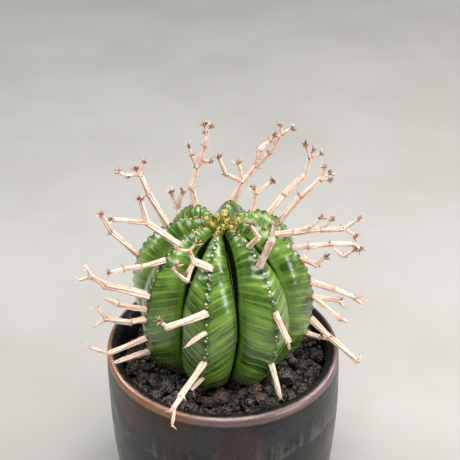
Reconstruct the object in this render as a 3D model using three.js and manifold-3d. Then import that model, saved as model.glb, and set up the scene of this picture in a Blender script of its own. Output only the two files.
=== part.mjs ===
// A ribbed, globular euphorbia in a round glazed pot, with its old dry flower stalks.
// Millimetres, +Z up. The origin is on the pot's axis, level with the foot it stands on.
// Bearings are in degrees round that axis: 0 is the front (-Y), 90 the right (+X), 180 the back.
import * as THREE from "three";
import { mergeVertices } from "three/addons/utils/BufferGeometryUtils.js";
import Module from "manifold-3d";

// ---------------------------------------------------------------- driving sizes
const POT_HEIGHT = 85;
const RIM_RADIUS = 50;
const WALL = 5.5;
const FLOOR_THICKNESS = 7;
const FOOT_RADIUS = 0.82 * RIM_RADIUS;
const FOOT_RING_WIDTH = 6;
const FOOT_RECESS = 2.5;
const DRAIN_RADIUS = 9;
const RIM_SLOPE = 0.034;
const POT_SIDES = 48;

const NET_RADIUS = 15;
const NET_THICKNESS = 1.2;
const NET_HOLES = 6;

const SOIL_DEPTH_BELOW_RIM = 11;
const GRAIN_COUNT = 44;
const GRAIN_SIZE = 3.1;
const GAP = 0.4;

const BODY_RADIUS = 38;
const BODY_HALF_HEIGHT = 38.5;
const BODY_SQUARENESS = 2.2;
const RIB_COUNT = 8;
const RIB_SLOPE = 0.12;
const CREASE_DEPTH = 0.15;
const CREASE_SHARPNESS = 7;
const CROWN_CREASE_DEPTH = 0.25;
const CROWN_CREASE_SHARPNESS = 2.6;
const LOW_CREASE_RISE = 0.2;
const FRONT_RIB_BEARING = -10;
const RIB_TWIST = 8;
const CROWN_DIP = 3.5;
const CROWN_DIP_RADIUS = 9;
const ROOT_LENGTH = 22;
const BODY_COLUMNS = 8 * RIB_COUNT;
const BODY_ROWS = 24;

const STALK_SIDES = 5;
const STALK_SINK = 2.5;
const BUD_SINK = 2;

const SOIL_LEVEL = POT_HEIGHT - SOIL_DEPTH_BELOW_RIM;
const BODY_CENTRE = SOIL_LEVEL + 0.95 * BODY_HALF_HEIGHT;
const RIB_ANGLE = 360 / RIB_COUNT;
const INNER_RADIUS = RIM_RADIUS - WALL;
const WALL_STEPS = [1.5, 4, 8, 13]
  .map((height) => FLOOR_THICKNESS + height)
  .concat([0.55 * POT_HEIGHT, SOIL_LEVEL - 1]);

// ---------------------------------------------------------------- materials
const finish = (color, roughness, metalness) => () =>
  new THREE.MeshStandardMaterial({ color, roughness, metalness });

const glaze = finish(0x4a4845, 0.35, 0.35);
const netPlastic = finish(0x2f4a38, 0.6, 0);
const lavaSoil = finish(0x2a2421, 0.7, 0);
const greenSkin = finish(0x4f7d2a, 0.3, 0);
const dryStalk = finish(0xd9c3a5, 0.75, 0);
const freshBud = finish(0xa9b43c, 0.5, 0);

// ---------------------------------------------------------------- solids
const wasm = await Module();
wasm.setup();

function solidOf(geometry) {
  const bare = geometry.clone();
  bare.deleteAttribute("normal");
  bare.deleteAttribute("uv");
  const merged = mergeVertices(bare, 1e-4);
  return new wasm.Manifold(new wasm.Mesh({
    numProp: 3,
    vertProperties: new Float32Array(merged.attributes.position.array),
    triVerts: new Uint32Array(merged.index.array),
  }));
}

function geometryOf(solid) {
  const mesh = solid.getMesh();
  const geometry = new THREE.BufferGeometry();
  geometry.setAttribute("position", new THREE.BufferAttribute(mesh.vertProperties, 3));
  geometry.setIndex(new THREE.BufferAttribute(mesh.triVerts, 1));
  geometry.computeVertexNormals();
  return geometry;
}

function unionOf(solids) {
  return solids.reduce((whole, next) => whole.add(next));
}

function heading(bearing, climb) {
  const turn = THREE.MathUtils.degToRad(bearing);
  const rise = THREE.MathUtils.degToRad(climb);
  return new THREE.Vector3(
    Math.sin(turn) * Math.cos(rise),
    -Math.cos(turn) * Math.cos(rise),
    Math.sin(rise),
  );
}

// A revolved shape about +Z from [radius, height] points.
function turned(points, sides) {
  const outline = points.map(([radius, height]) => new THREE.Vector2(radius, height));
  const geometry = new THREE.LatheGeometry(outline, sides);
  geometry.rotateX(Math.PI / 2);
  return geometry;
}

function moveVertices(geometry, move) {
  const position = geometry.attributes.position;
  const point = new THREE.Vector3();
  for (let i = 0; i < position.count; i += 1) {
    point.fromBufferAttribute(position, i);
    move(point, i);
    position.setXYZ(i, point.x, point.y, point.z);
  }
  return geometry;
}

// ---------------------------------------------------------------- pot
// Inner radius of the pot at a height, with the rounded corner at its floor.
function innerRadius(height) {
  const corner = 8;
  const above = height - FLOOR_THICKNESS;
  const wall = INNER_RADIUS - 2.5 * (1 - height / POT_HEIGHT);
  if (above >= corner) {
    return wall;
  }
  return wall - corner + Math.sqrt(corner ** 2 - (corner - Math.max(above, 0)) ** 2);
}

function potOutline() {
  const ringInside = FOOT_RADIUS - FOOT_RING_WIDTH;
  const outside = [
    [DRAIN_RADIUS, FOOT_RECESS],
    [ringInside - 1, FOOT_RECESS],
    [ringInside, 0],
    [FOOT_RADIUS, 0],
    [0.864 * RIM_RADIUS, 1.6],
    [0.912 * RIM_RADIUS, 6],
    [0.948 * RIM_RADIUS, 14],
    [RIM_RADIUS - 1.4, 0.33 * POT_HEIGHT],
    [RIM_RADIUS - 0.2, 0.5 * POT_HEIGHT],
    [RIM_RADIUS + 0.5, 0.7 * POT_HEIGHT],
    [RIM_RADIUS + 0.4, POT_HEIGHT - 12],
    [RIM_RADIUS, POT_HEIGHT - 4],
    [RIM_RADIUS - 0.1, POT_HEIGHT - 1.4],
    [RIM_RADIUS - 1.1, POT_HEIGHT - 0.2],
    [RIM_RADIUS - 2.6, POT_HEIGHT],
    [INNER_RADIUS + 0.9, POT_HEIGHT - 0.3],
    [INNER_RADIUS, POT_HEIGHT - 1.4],
  ];
  const inside = [...WALL_STEPS].reverse().map((height) => [innerRadius(height), height]);
  return [
    ...outside,
    ...inside,
    [INNER_RADIUS - 11, FLOOR_THICKNESS],
    [DRAIN_RADIUS, FLOOR_THICKNESS],
    [DRAIN_RADIUS, FOOT_RECESS],
  ];
}

// The hand-thrown rim stands a little higher on the left than on the right.
function leanRim(point) {
  const share = Math.max(0, point.z / POT_HEIGHT) ** 4;
  point.z -= point.x * RIM_SLOPE * share;
}

function potGeometry() {
  return moveVertices(turned(potOutline(), POT_SIDES), leanRim);
}

// ---------------------------------------------------------------- net over the drain hole
function netGeometry() {
  const disc = new THREE.Shape();
  disc.absarc(0, 0, NET_RADIUS, 0, 2 * Math.PI);
  for (let i = 0; i < NET_HOLES; i += 1) {
    const turn = (2 * Math.PI * i) / NET_HOLES;
    const hole = new THREE.Path();
    hole.absarc(5.4 * Math.cos(turn), 5.4 * Math.sin(turn), 1.9, 0, 2 * Math.PI);
    disc.holes.push(hole);
  }
  const geometry = new THREE.ExtrudeGeometry(disc, {
    depth: NET_THICKNESS,
    bevelEnabled: false,
    curveSegments: 5,
  });
  geometry.translate(0, 0, FLOOR_THICKNESS + GAP);
  return geometry;
}

// ---------------------------------------------------------------- plant body
// Height of the ribbed skin's outermost line, and its radius, at a polar angle from the crown.
function ribLine(polar, grow) {
  const power = 2 / BODY_SQUARENESS;
  const across = Math.abs(Math.sin(polar)) ** power;
  const along = Math.sign(Math.cos(polar)) * Math.abs(Math.cos(polar)) ** power;
  return {
    radius: BODY_RADIUS * across + grow * Math.sin(polar),
    height: BODY_HALF_HEIGHT * along + grow * Math.cos(polar),
  };
}

// Share of the radius lost at a bearing: each face slopes back from its ridge, then folds
// into a crease that is tight low down and opens towards the crown. Growing narrows the creases.
function ribCut(bearing, polar, grow) {
  const wrapped = THREE.MathUtils.euclideanModulo(bearing, RIB_ANGLE);
  const spread = THREE.MathUtils.radToDeg(grow / Math.max(ribLine(polar, 0).radius, 3));
  const aside = Math.max(0, Math.min(wrapped, RIB_ANGLE - wrapped) - spread);
  const fromRidge = aside / (RIB_ANGLE / 2);
  const opened = 1 - THREE.MathUtils.smoothstep(polar, 0.15 * Math.PI, 0.45 * Math.PI);
  const sharpness = THREE.MathUtils.lerp(CREASE_SHARPNESS, CROWN_CREASE_SHARPNESS, opened);
  const depth = THREE.MathUtils.lerp(CREASE_DEPTH, CROWN_CREASE_DEPTH, opened);
  const slope = RIB_SLOPE * fromRidge ** 1.1;
  const crease = depth * fromRidge ** sharpness;
  return (slope + crease) * Math.sin(polar) ** 0.4;
}

// Skin point for a bearing measured from the front rib's ridge.
function skinPoint(bearing, polar, grow) {
  const line = ribLine(polar, grow);
  const cut = ribCut(bearing, polar, grow);
  const radius = line.radius * (1 - cut);
  let height = line.height * (1 - (line.height < 0 ? LOW_CREASE_RISE : 1) * cut);
  if (polar < Math.PI / 2) {
    height -= CROWN_DIP * Math.exp(-((radius / CROWN_DIP_RADIUS) ** 2));
  }
  const rootShare = THREE.MathUtils.smoothstep(polar, 0.84 * Math.PI, Math.PI);
  height -= ROOT_LENGTH * rootShare;
  const twist = height < 0 ? (RIB_TWIST * height) / BODY_HALF_HEIGHT : 0;
  const turn = THREE.MathUtils.degToRad(FRONT_RIB_BEARING + bearing + Math.max(twist, -12));
  return new THREE.Vector3(
    radius * Math.sin(turn),
    -radius * Math.cos(turn),
    BODY_CENTRE + height,
  );
}

// Bearing of a column of points: the columns crowd towards the creases.
function columnBearing(column) {
  const turn = (column / BODY_COLUMNS) * RIB_COUNT;
  const rib = Math.round(turn);
  const fromRidge = Math.sin((turn - rib) * Math.PI);
  return (rib + fromRidge / 2) * RIB_ANGLE;
}

function bodyGeometry(grow) {
  const ball = new THREE.SphereGeometry(1, BODY_COLUMNS, BODY_ROWS);
  const columns = BODY_COLUMNS + 1;
  return moveVertices(ball, (point, i) => {
    const bearing = columnBearing(i % columns);
    const polar = (Math.floor(i / columns) / BODY_ROWS) * Math.PI;
    point.copy(skinPoint(bearing, polar, grow));
  });
}

// Polar angle at which a rib's ridge stands at a height above the soil.
function polarAt(rib, height) {
  let low = 0.12 * Math.PI;
  let high = 0.8 * Math.PI;
  for (let i = 0; i < 30; i += 1) {
    const middle = (low + high) / 2;
    if (skinPoint(rib * RIB_ANGLE, middle, 0).z > SOIL_LEVEL + height) {
      low = middle;
    } else {
      high = middle;
    }
  }
  return (low + high) / 2;
}

// ---------------------------------------------------------------- soil
function soilOutline() {
  const side = WALL_STEPS.slice(1).map((height) => [innerRadius(height) - GAP, height]);
  const bottom = FLOOR_THICKNESS + NET_THICKNESS + 2 * GAP;
  return [[0, bottom], [INNER_RADIUS - 11, bottom], ...side, [0, SOIL_LEVEL - 1]];
}

// Rough lava grains in the top of the soil, spread evenly by the golden angle.
function grain(index) {
  const share = Math.sqrt((index + 0.5) / GRAIN_COUNT);
  const reach = innerRadius(SOIL_LEVEL) - GAP - 1.15 * GRAIN_SIZE;
  const radius = 13 + (reach - 13) * share;
  const turn = index * Math.PI * (3 - Math.sqrt(5));
  const size = GRAIN_SIZE * (0.85 + 0.15 * Math.sin(5.3 * index));
  const geometry = new THREE.IcosahedronGeometry(size, 0);
  geometry.rotateX(index);
  geometry.rotateY(2.1 * index);
  geometry.translate(
    radius * Math.cos(turn),
    radius * Math.sin(turn),
    SOIL_LEVEL - 1 + 0.8 * Math.cos(3.7 * index),
  );
  return solidOf(geometry);
}

function soilGeometry(plantSpace) {
  const grains = Array.from({ length: GRAIN_COUNT }, (_, i) => grain(i));
  const bed = solidOf(turned(soilOutline(), POT_SIDES));
  return geometryOf(unionOf([bed, ...grains]).subtract(plantSpace));
}

// ---------------------------------------------------------------- stalks
const RIB = {
  front: 0,
  frontRight: 1,
  right: 2,
  backRight: 3,
  back: 4,
  backLeft: 5,
  left: 6,
  frontLeft: 7,
};

// One length of a stalk: the joint it grows from (0 is the root), its length, its bearing,
// its climb above the level and its thickness at the start.
const limb = (from, length, bearing, climb, thickness) =>
  ({ from, length, bearing, climb, thickness });

// Name, rib, height of its root above the soil, and its lengths in order.
const STALKS = [
  ["stalk_front_1", RIB.front, 67, [
    limb(0, 8, 290, 38, 3), limb(1, 5.5, 280, 72, 1.9), limb(2, 4.6, 90, 50, 1.3),
    limb(2, 4.6, 270, 10, 1.3), limb(1, 8, 320, -58, 1.5), limb(5, 8, 275, 48, 1.4),
    limb(6, 2.6, 90, 50, 1.2), limb(1, 5.5, 290, -55, 1.3)]],
  ["stalk_front_2", RIB.front, 53, [limb(0, 17, 300, 0, 2.8), limb(1, 5, 290, 55, 1.6)]],
  ["stalk_front_3", RIB.front, 45, [limb(0, 9, 300, -20, 2)]],
  ["stalk_front_4", RIB.front, 30, [
    limb(0, 17, 327, -18, 2.8), limb(1, 5, 327, -20, 2.2), limb(2, 3, 300, -45, 1.5),
    limb(2, 8, 345, -60, 1.5)]],
  ["stalk_front_5", RIB.front, 20, [limb(0, 7, 320, -15, 2)]],
  ["stalk_front_right_1", RIB.frontRight, 71, [limb(0, 7, 60, 52, 2.4), limb(1, 9, 300, 62, 1.5)]],
  ["stalk_front_right_2", RIB.frontRight, 66, [limb(0, 16, 45, 68, 3), limb(1, 8, 80, 80, 2)]],
  ["stalk_front_right_3", RIB.frontRight, 49, [
    limb(0, 12, 45, -55, 2.6), limb(1, 4, 45, -80, 1.5)]],
  ["stalk_front_right_4", RIB.frontRight, 24, [limb(0, 15, 30, -60, 2.4)]],
  ["stalk_right_1", RIB.right, 69, [
    limb(0, 7, 85, 10, 2.8), limb(1, 11, 85, 10, 2.6), limb(2, 9, 85, 5, 2.2),
    limb(3, 8, 85, 40, 1.5), limb(3, 6, 85, -35, 1.4), limb(2, 7, 80, 50, 1.4),
    limb(1, 7, 80, 25, 1.6), limb(7, 7, 90, 45, 1.3)]],
  ["stalk_right_2", RIB.right, 63, [
    limb(0, 7, 70, 20, 2.4), limb(1, 9, 75, 15, 2.2), limb(2, 9, 80, 5, 2),
    limb(3, 4, 80, -35, 1.6), limb(2, 7, 60, -35, 1.4), limb(5, 6, 80, 40, 1.3)]],
  ["stalk_right_3", RIB.right, 58.5, [limb(0, 7, 65, -12, 2.4), limb(1, 6, 80, 50, 1.6)]],
  ["stalk_right_4", RIB.right, 47, [
    limb(0, 10, 75, -12, 2.6), limb(1, 9, 75, -18, 2.2), limb(2, 4, 80, 30, 1.5),
    limb(2, 4, 65, -35, 1.5)]],
  ["stalk_right_5", RIB.right, 40, [
    limb(0, 11, 85, -10, 2.4), limb(1, 4, 75, -55, 1.6), limb(0, 14, 55, -25, 2.2),
    limb(3, 4, 70, -20, 1.5)]],
  ["stalk_right_6", RIB.right, 29, [
    limb(0, 11, 60, -36, 2.8), limb(1, 15, 60, -30, 2.4), limb(2, 3, 90, 60, 1.8)]],
  ["stalk_right_7", RIB.right, 22, [limb(0, 6, 80, -15, 2.2), limb(1, 9, 90, -15, 1.8)]],
  ["stalk_back_right_1", RIB.backRight, 68, [
    limb(0, 10, 110, 48, 2.8), limb(1, 12, 110, 40, 2.6), limb(2, 8, 100, 75, 2),
    limb(3, 6, 270, 70, 1.2), limb(3, 4, 90, 68, 1.2), limb(3, 5, 90, 20, 1.2)]],
  ["stalk_back_right_2", RIB.backRight, 62, [
    limb(0, 15, 84, 56, 2.8), limb(1, 11, 95, 45, 2.4), limb(2, 6, 95, 75, 1.6),
    limb(2, 5, 90, 33, 1.5), limb(2, 4, 90, -10, 1.4)]],
  ["stalk_back_right_3", RIB.backRight, 73, [
    limb(0, 8, 120, 75, 2.2), limb(1, 3, 270, 60, 1.3), limb(1, 8, 100, 35, 1.6)]],
  ["stalk_back_right_4", RIB.backRight, 30, [limb(0, 10, 150, 0, 2.6), limb(1, 5, 170, 40, 1.6)]],
  ["stalk_back_1", RIB.back, 66, [
    limb(0, 10, 110, 60, 3.4), limb(1, 9, 100, 52, 2.8), limb(2, 8, 100, 46, 2.4),
    limb(3, 10, 100, 59, 2), limb(4, 4, 270, 80, 1.2), limb(4, 5, 90, 30, 1.2),
    limb(2, 8, 80, 80, 2), limb(7, 6, 100, 42, 1.8), limb(8, 3, 95, 50, 1.4),
    limb(1, 8, 265, 25, 2), limb(10, 9, 265, 70, 1.8), limb(1, 9, 230, 72, 1.8)]],
  ["stalk_back_2", RIB.back, 38, [
    limb(0, 16, 178, 10, 2.8), limb(1, 6, 200, 35, 1.6), limb(1, 5, 160, 10, 1.5)]],
  ["stalk_back_left_1", RIB.backLeft, 71, [
    limb(0, 8, 235, 80, 2.8), limb(1, 10, 100, 77, 2.6), limb(2, 10, 100, 69, 2.2),
    limb(3, 7, 100, 84, 1.8), limb(4, 3, 270, 74, 1.2), limb(4, 3, 90, 48, 1.2),
    limb(2, 6, 260, 69, 1.5), limb(7, 4, 260, 75, 1.2), limb(2, 4, 90, 42, 1.4),
    limb(9, 3, 90, -5, 1.3)]],
  ["stalk_back_left_2", RIB.backLeft, 57, [
    limb(0, 5, 170, 75, 2.4), limb(1, 8, 260, 72, 2), limb(1, 8, 100, 70, 2)]],
  ["stalk_back_left_3", RIB.backLeft, 32, [limb(0, 13, 205, 5, 2.4), limb(1, 5, 190, 50, 1.5)]],
  ["stalk_left_1", RIB.left, 69, [
    limb(0, 16, 262, 64, 2.8), limb(1, 9, 262, 72, 2.2), limb(2, 6, 300, 110, 1.5),
    limb(2, 3, 262, 56, 1.5), limb(2, 6, 255, -15, 1.6), limb(5, 4, 262, 30, 1.3)]],
  ["stalk_left_2", RIB.left, 53, [limb(0, 15, 258, 42, 2.6), limb(1, 9, 260, 65, 2.2)]],
  ["stalk_front_left_1", RIB.frontLeft, 70, [
    limb(0, 18, 290, 47, 2.8), limb(1, 14, 283, 14, 2.2), limb(1, 11, 275, 80, 2.2)]],
  ["stalk_front_left_2", RIB.frontLeft, 65, [
    limb(0, 10, 295, 0, 2.2), limb(1, 7, 290, 5, 2), limb(2, 6, 285, -5, 1.5)]],
  ["stalk_front_left_3", RIB.frontLeft, 51, [
    limb(0, 18, 280, 25, 3.4), limb(1, 7, 275, 43, 2.4), limb(2, 4, 270, 70, 1.4),
    limb(2, 6, 270, -20, 1.5), limb(2, 5, 225, 45, 1.3)]],
  ["stalk_front_left_4", RIB.frontLeft, 45.5, [limb(0, 12, 287, 24, 2.4), limb(1, 6, 275, 34, 2)]],
  ["stalk_front_left_5", RIB.frontLeft, 40.5, [
    limb(0, 6, 292, 4, 2.6), limb(1, 10, 280, 18, 2.4), limb(2, 7, 270, 58, 1.6),
    limb(2, 6, 285, -34, 1.6)]],
  ["stalk_front_left_6", RIB.frontLeft, 30, [limb(0, 16, 294, -9, 2.4), limb(1, 9, 280, 30, 1.8)]],
  ["stalk_front_left_7", RIB.frontLeft, 22, [limb(0, 16, 298, 0, 2.4)]],
];

function tube(start, end, startWidth, endWidth) {
  const along = new THREE.Vector3().subVectors(end, start);
  const geometry = new THREE.CylinderGeometry(
    endWidth / 2, startWidth / 2, along.length(), STALK_SIDES);
  const turn = new THREE.Quaternion()
    .setFromUnitVectors(new THREE.Vector3(0, 1, 0), along.clone().normalize());
  geometry.applyQuaternion(turn);
  const middle = new THREE.Vector3().addVectors(start, end).multiplyScalar(0.5);
  geometry.translate(middle.x, middle.y, middle.z);
  return solidOf(geometry);
}

function knuckle(place, width) {
  const geometry = new THREE.IcosahedronGeometry(0.62 * width, 0);
  geometry.translate(place.x, place.y, place.z);
  return solidOf(geometry);
}

function stalkGeometry(rib, height, limbs, plantSpace) {
  const root = skinPoint(rib * RIB_ANGLE, polarAt(rib, height), 0);
  const joints = [root];
  const pieces = [];
  const forks = new Set(limbs.map(({ from }) => from));
  limbs.forEach(({ from, length, bearing, climb, thickness }, i) => {
    const way = heading(bearing, climb);
    const end = joints[from].clone().addScaledVector(way, length);
    const start = joints[from].clone();
    if (from === 0) {
      start.addScaledVector(way, -STALK_SINK);
    }
    pieces.push(tube(start, end, thickness, 0.8 * thickness));
    if (forks.has(i + 1)) {
      pieces.push(knuckle(end, thickness));
    }
    joints.push(end);
  });
  return geometryOf(unionOf(pieces).subtract(plantSpace));
}

// ---------------------------------------------------------------- flower buds at the crown
// One short upright shoot: bearing and distance from the crown's centre, height and width.
const bud = (bearing, distance, height, width) => ({ bearing, distance, height, width });

const BUDS = [
  bud(207, 2.8, 5.5, 2.6),
  bud(256, 5.4, 5.5, 2.4),
  bud(88, 5.9, 6, 2.6),
  bud(160, 3.4, 5.5, 2.2),
  bud(60, 2.2, 5.5, 2.2),
  bud(10, 3.6, 5, 2.2),
  bud(305, 3.9, 5, 2.2),
  bud(42, 5.2, 5, 2.2),
  bud(350, 6.4, 4.5, 2.2),
  bud(172, 6.8, 5, 2.4),
];

function budGeometry({ bearing, distance, height, width }, plantSpace) {
  const outline = [
    [0, 0],
    [0.36 * width, 0],
    [0.42 * width, 0.45 * height],
    [0.5 * width, 0.75 * height],
    [0.34 * width, 0.95 * height],
    [0, height],
  ];
  const crownTop = BODY_CENTRE + BODY_HALF_HEIGHT - CROWN_DIP;
  const foot = heading(bearing, 0).multiplyScalar(distance);
  const geometry = turned(outline, 6);
  geometry.translate(foot.x, foot.y, crownTop - BUD_SINK - 0.12 * distance);
  return geometryOf(solidOf(geometry).subtract(plantSpace));
}

// ---------------------------------------------------------------- assembly
function piece(name, geometry, material) {
  const mesh = new THREE.Mesh(geometry, material());
  mesh.name = name;
  return mesh;
}

const plantSpace = solidOf(bodyGeometry(GAP));
const pottedEuphorbia = new THREE.Group();

pottedEuphorbia.add(piece("pot", potGeometry(), glaze));
pottedEuphorbia.add(piece("drain_net", netGeometry(), netPlastic));
pottedEuphorbia.add(piece("soil", soilGeometry(plantSpace), lavaSoil));
pottedEuphorbia.add(piece("plant_body", bodyGeometry(0), greenSkin));

const stalks = new THREE.Group();
STALKS.forEach(([name, rib, height, limbs]) => {
  stalks.add(piece(name, stalkGeometry(rib, height, limbs, plantSpace), dryStalk));
});
pottedEuphorbia.add(stalks);

const crown = new THREE.Group();
BUDS.forEach((size, i) => {
  crown.add(piece(`crown_bud_${i + 1}`, budGeometry(size, plantSpace), freshBud));
});
pottedEuphorbia.add(crown);

export default pottedEuphorbia;
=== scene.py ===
"""A ribbed, globular euphorbia with its old dry flower stalks, in a round glazed pot.

Every size is in millimetres until a shape is made; the scene itself is in metres, +Z up, with
the origin on the pot's axis at the level it stands on. Bearings are in degrees round that axis:
0 is the front (-Y), 90 the right (+X) and 180 the back.
"""

import logging
import math
import random
from dataclasses import dataclass, field
from enum import Enum
from functools import cached_property
from typing import Any, Callable, ClassVar, Iterable, Sequence

import bpy
import numpy as np
from mathutils import Matrix, Vector, noise

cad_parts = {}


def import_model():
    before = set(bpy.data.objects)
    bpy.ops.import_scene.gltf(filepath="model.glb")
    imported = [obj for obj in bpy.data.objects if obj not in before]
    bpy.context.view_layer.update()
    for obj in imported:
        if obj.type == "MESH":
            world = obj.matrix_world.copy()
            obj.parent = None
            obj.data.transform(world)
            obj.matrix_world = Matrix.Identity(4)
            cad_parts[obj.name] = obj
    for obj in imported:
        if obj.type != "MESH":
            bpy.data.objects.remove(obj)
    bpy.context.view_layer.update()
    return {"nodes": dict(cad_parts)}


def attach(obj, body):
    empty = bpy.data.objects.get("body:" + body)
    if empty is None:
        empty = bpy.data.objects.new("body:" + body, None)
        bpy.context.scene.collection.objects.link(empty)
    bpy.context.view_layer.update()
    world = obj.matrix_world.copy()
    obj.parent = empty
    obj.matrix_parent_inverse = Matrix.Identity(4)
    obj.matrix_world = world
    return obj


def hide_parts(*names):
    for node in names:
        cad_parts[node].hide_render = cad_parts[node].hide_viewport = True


MM = 0.001
ALL_ROUND = 6.28  # the range of a free roll, in radians
BODY = "root"
log = logging.getLogger("potted_euphorbia")


class Slot(Enum):
    """The material slots for the kinds of piece; no piece is given one, and the net keeps its own.
    """

    GLAZE = "glaze"
    SOIL = "lava_soil"
    SKIN = "green_skin"
    STALK = "dry_stalk"
    BUD = "fresh_bud"


class Rib(Enum):
    """The ribs, counted from the one at the front towards the right."""

    FRONT = 0
    FRONT_RIGHT = 1
    RIGHT = 2
    BACK_RIGHT = 3
    BACK = 4
    BACK_LEFT = 5
    LEFT = 6
    FRONT_LEFT = 7


# ------------------------------------------------------------------ workbench
def pick(*pieces: bpy.types.Object) -> None:
    """Selects only these pieces and makes the first one active; with none, clears the choice.

    Args:
        pieces: the pieces that the next operator acts on.
    """
    if bpy.context.mode != "OBJECT":
        bpy.ops.object.mode_set(mode="OBJECT")
    bpy.ops.object.select_all(action="DESELECT")
    for piece in pieces:
        piece.select_set(True)
    if pieces:
        bpy.context.view_layer.objects.active = pieces[0]


def edit_all() -> None:
    """Opens the active piece for editing, with everything on it selected."""
    bpy.ops.object.mode_set(mode="EDIT")
    bpy.ops.mesh.select_all(action="SELECT")


def settle(piece: bpy.types.Object, name: str) -> bpy.types.Object:
    """Puts a piece's place into its mesh and gives both their name.

    Args:
        piece: the piece to settle.
        name: its name.

    Returns:
        The same piece.
    """
    pick(piece)
    bpy.ops.object.transform_apply(location=True, rotation=True, scale=True)
    piece.name = name
    piece.data.name = name
    return piece


def join(pieces: Sequence[bpy.types.Object], name: str) -> bpy.types.Object:
    """Joins pieces into one.

    Args:
        pieces: the pieces; the first one takes the others in.
        name: the name of the result.

    Returns:
        The joined piece.
    """
    pick(*pieces)
    if len(pieces) > 1:
        bpy.ops.object.join()
    return settle(bpy.context.view_layer.objects.active, name)


def modify(piece: bpy.types.Object, kind: str, **settings: Any) -> None:
    """Adds one modifier to a piece and applies it.

    Args:
        piece: the piece.
        kind: the modifier's type, such as SUBSURF.
        settings: its properties.
    """
    pick(piece)
    modifier = piece.modifiers.new(kind.title(), kind)
    for key, value in settings.items():
        setattr(modifier, key, value)
    bpy.ops.object.modifier_apply(modifier=modifier.name)


def face_out(piece: bpy.types.Object) -> None:
    """Merges doubled points and turns every face outwards.

    Args:
        piece: the piece.
    """
    pick(piece)
    edit_all()
    bpy.ops.mesh.remove_doubles(threshold=1e-6)
    bpy.ops.mesh.normals_make_consistent(inside=False)
    bpy.ops.object.mode_set(mode="OBJECT")


def smooth(piece: bpy.types.Object) -> None:
    """Shades a piece smoothly."""
    pick(piece)
    bpy.ops.object.shade_smooth()


def points_of(mesh: bpy.types.Mesh) -> np.ndarray:
    """Reads a mesh's points.

    Args:
        mesh: the mesh.

    Returns:
        One row for each point, in metres.
    """
    rows = np.zeros(len(mesh.vertices) * 3)
    mesh.vertices.foreach_get("co", rows)
    return rows.reshape(-1, 3)


def move_points(mesh: bpy.types.Mesh, rows: np.ndarray) -> None:
    """Moves a mesh's points to the rows of an array."""
    mesh.vertices.foreach_set("co", np.ascontiguousarray(rows, dtype=float).ravel())
    mesh.update()


def sculpt(piece: bpy.types.Object, shape: Callable[[Vector], Vector]) -> None:
    """Moves each point of a piece.

    Args:
        piece: the piece.
        shape: takes a point in metres and returns where it goes.
    """
    for vertex in piece.data.vertices:
        vertex.co = shape(vertex.co.copy())
    piece.data.update()


def paint(mesh: bpy.types.Mesh, name: str, values: Iterable[float] | float) -> None:
    """Stores one number per point under a name that a material can read.

    Args:
        mesh: the mesh.
        name: the attribute's name.
        values: one value for each point, or one for them all.
    """
    layer = mesh.attributes.get(name) or mesh.attributes.new(name, "FLOAT", "POINT")
    if isinstance(values, (int, float)):
        values = np.full(len(mesh.vertices), float(values))
    layer.data.foreach_set("value", np.asarray(values, dtype=np.float32))


def copy_of(pattern: bpy.types.Object, place: Matrix) -> bpy.types.Object:
    """Copies a pattern with a mesh of its own, moved to its place.

    Args:
        pattern: the piece modelled once.
        place: where the copy goes, with its turn and size.

    Returns:
        The copy, with its place in its mesh.
    """
    twin = bpy.data.objects.new(pattern.name + "_copy", pattern.data.copy())
    twin.data.transform(place)
    bpy.context.scene.collection.objects.link(twin)
    return twin


def set_out(pattern: bpy.types.Object, place: Matrix, name: str,
            value: float) -> bpy.types.Object:
    """Copies a pattern to its place and stores one number on the copy.

    Args:
        pattern: the piece modelled once.
        place: where the copy goes, with its turn and size.
        name: what the number says, for the finish.
        value: the number.

    Returns:
        The copy.
    """
    twin = copy_of(pattern, place)
    paint(twin.data, name, value)
    return twin


def discard(patterns: Iterable[bpy.types.Object]) -> None:
    """Removes patterns that have been copied."""
    for pattern in patterns:
        bpy.data.objects.remove(pattern)


def placed(place: Vector, way: Vector, size: Sequence[float], roll: float = 0.0) -> Matrix:
    """Builds the place of a copy.

    Args:
        place: its centre, in metres.
        way: the direction that its own +Z turns to.
        size: its scale along its own X, Y and Z.
        roll: its turn about its own Z, in radians.

    Returns:
        The matrix.
    """
    turn = way.to_track_quat("Z", "Y").to_matrix().to_4x4()
    scale = Matrix.Diagonal((*size, 1.0))
    return Matrix.Translation(place) @ turn @ Matrix.Rotation(roll, 4, "Z") @ scale


def thrown(name: str, profile: Sequence[tuple[float, float]], sides: int,
           loop: bool) -> bpy.types.Object:
    """Carries a circle along a profile by extruding and sizing it, as clay is drawn on a wheel.

    Args:
        name: the piece's name.
        profile: radius and height of each ring, in millimetres.
        sides: points round each ring.
        loop: True where the profile ends where it starts, False where its ends are closed over.

    Returns:
        The closed piece.
    """
    pick()
    radius, height = profile[0]
    bpy.ops.mesh.primitive_circle_add(
        vertices=sides, radius=radius * MM, location=(0, 0, height * MM))
    piece = bpy.context.active_object
    edit_all()
    for (r0, z0), (r1, z1) in zip(profile, profile[1:]):
        bpy.ops.mesh.extrude_region_move(
            TRANSFORM_OT_translate={"value": (0, 0, (z1 - z0) * MM)})
        bpy.ops.transform.resize(
            value=(r1 / r0, r1 / r0, 1), center_override=(0, 0, z1 * MM))
    bpy.ops.mesh.select_all(action="SELECT")
    if not loop:
        bpy.ops.mesh.fill_holes(sides=0)
    settle(piece, name)
    face_out(piece)
    return piece


def heading(bearing: float, climb: float) -> Vector:
    """Returns the direction with this bearing and this climb above the level, in degrees."""
    turn, rise = math.radians(bearing), math.radians(climb)
    return Vector((math.sin(turn) * math.cos(rise), -math.cos(turn) * math.cos(rise),
                   math.sin(rise)))


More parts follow.
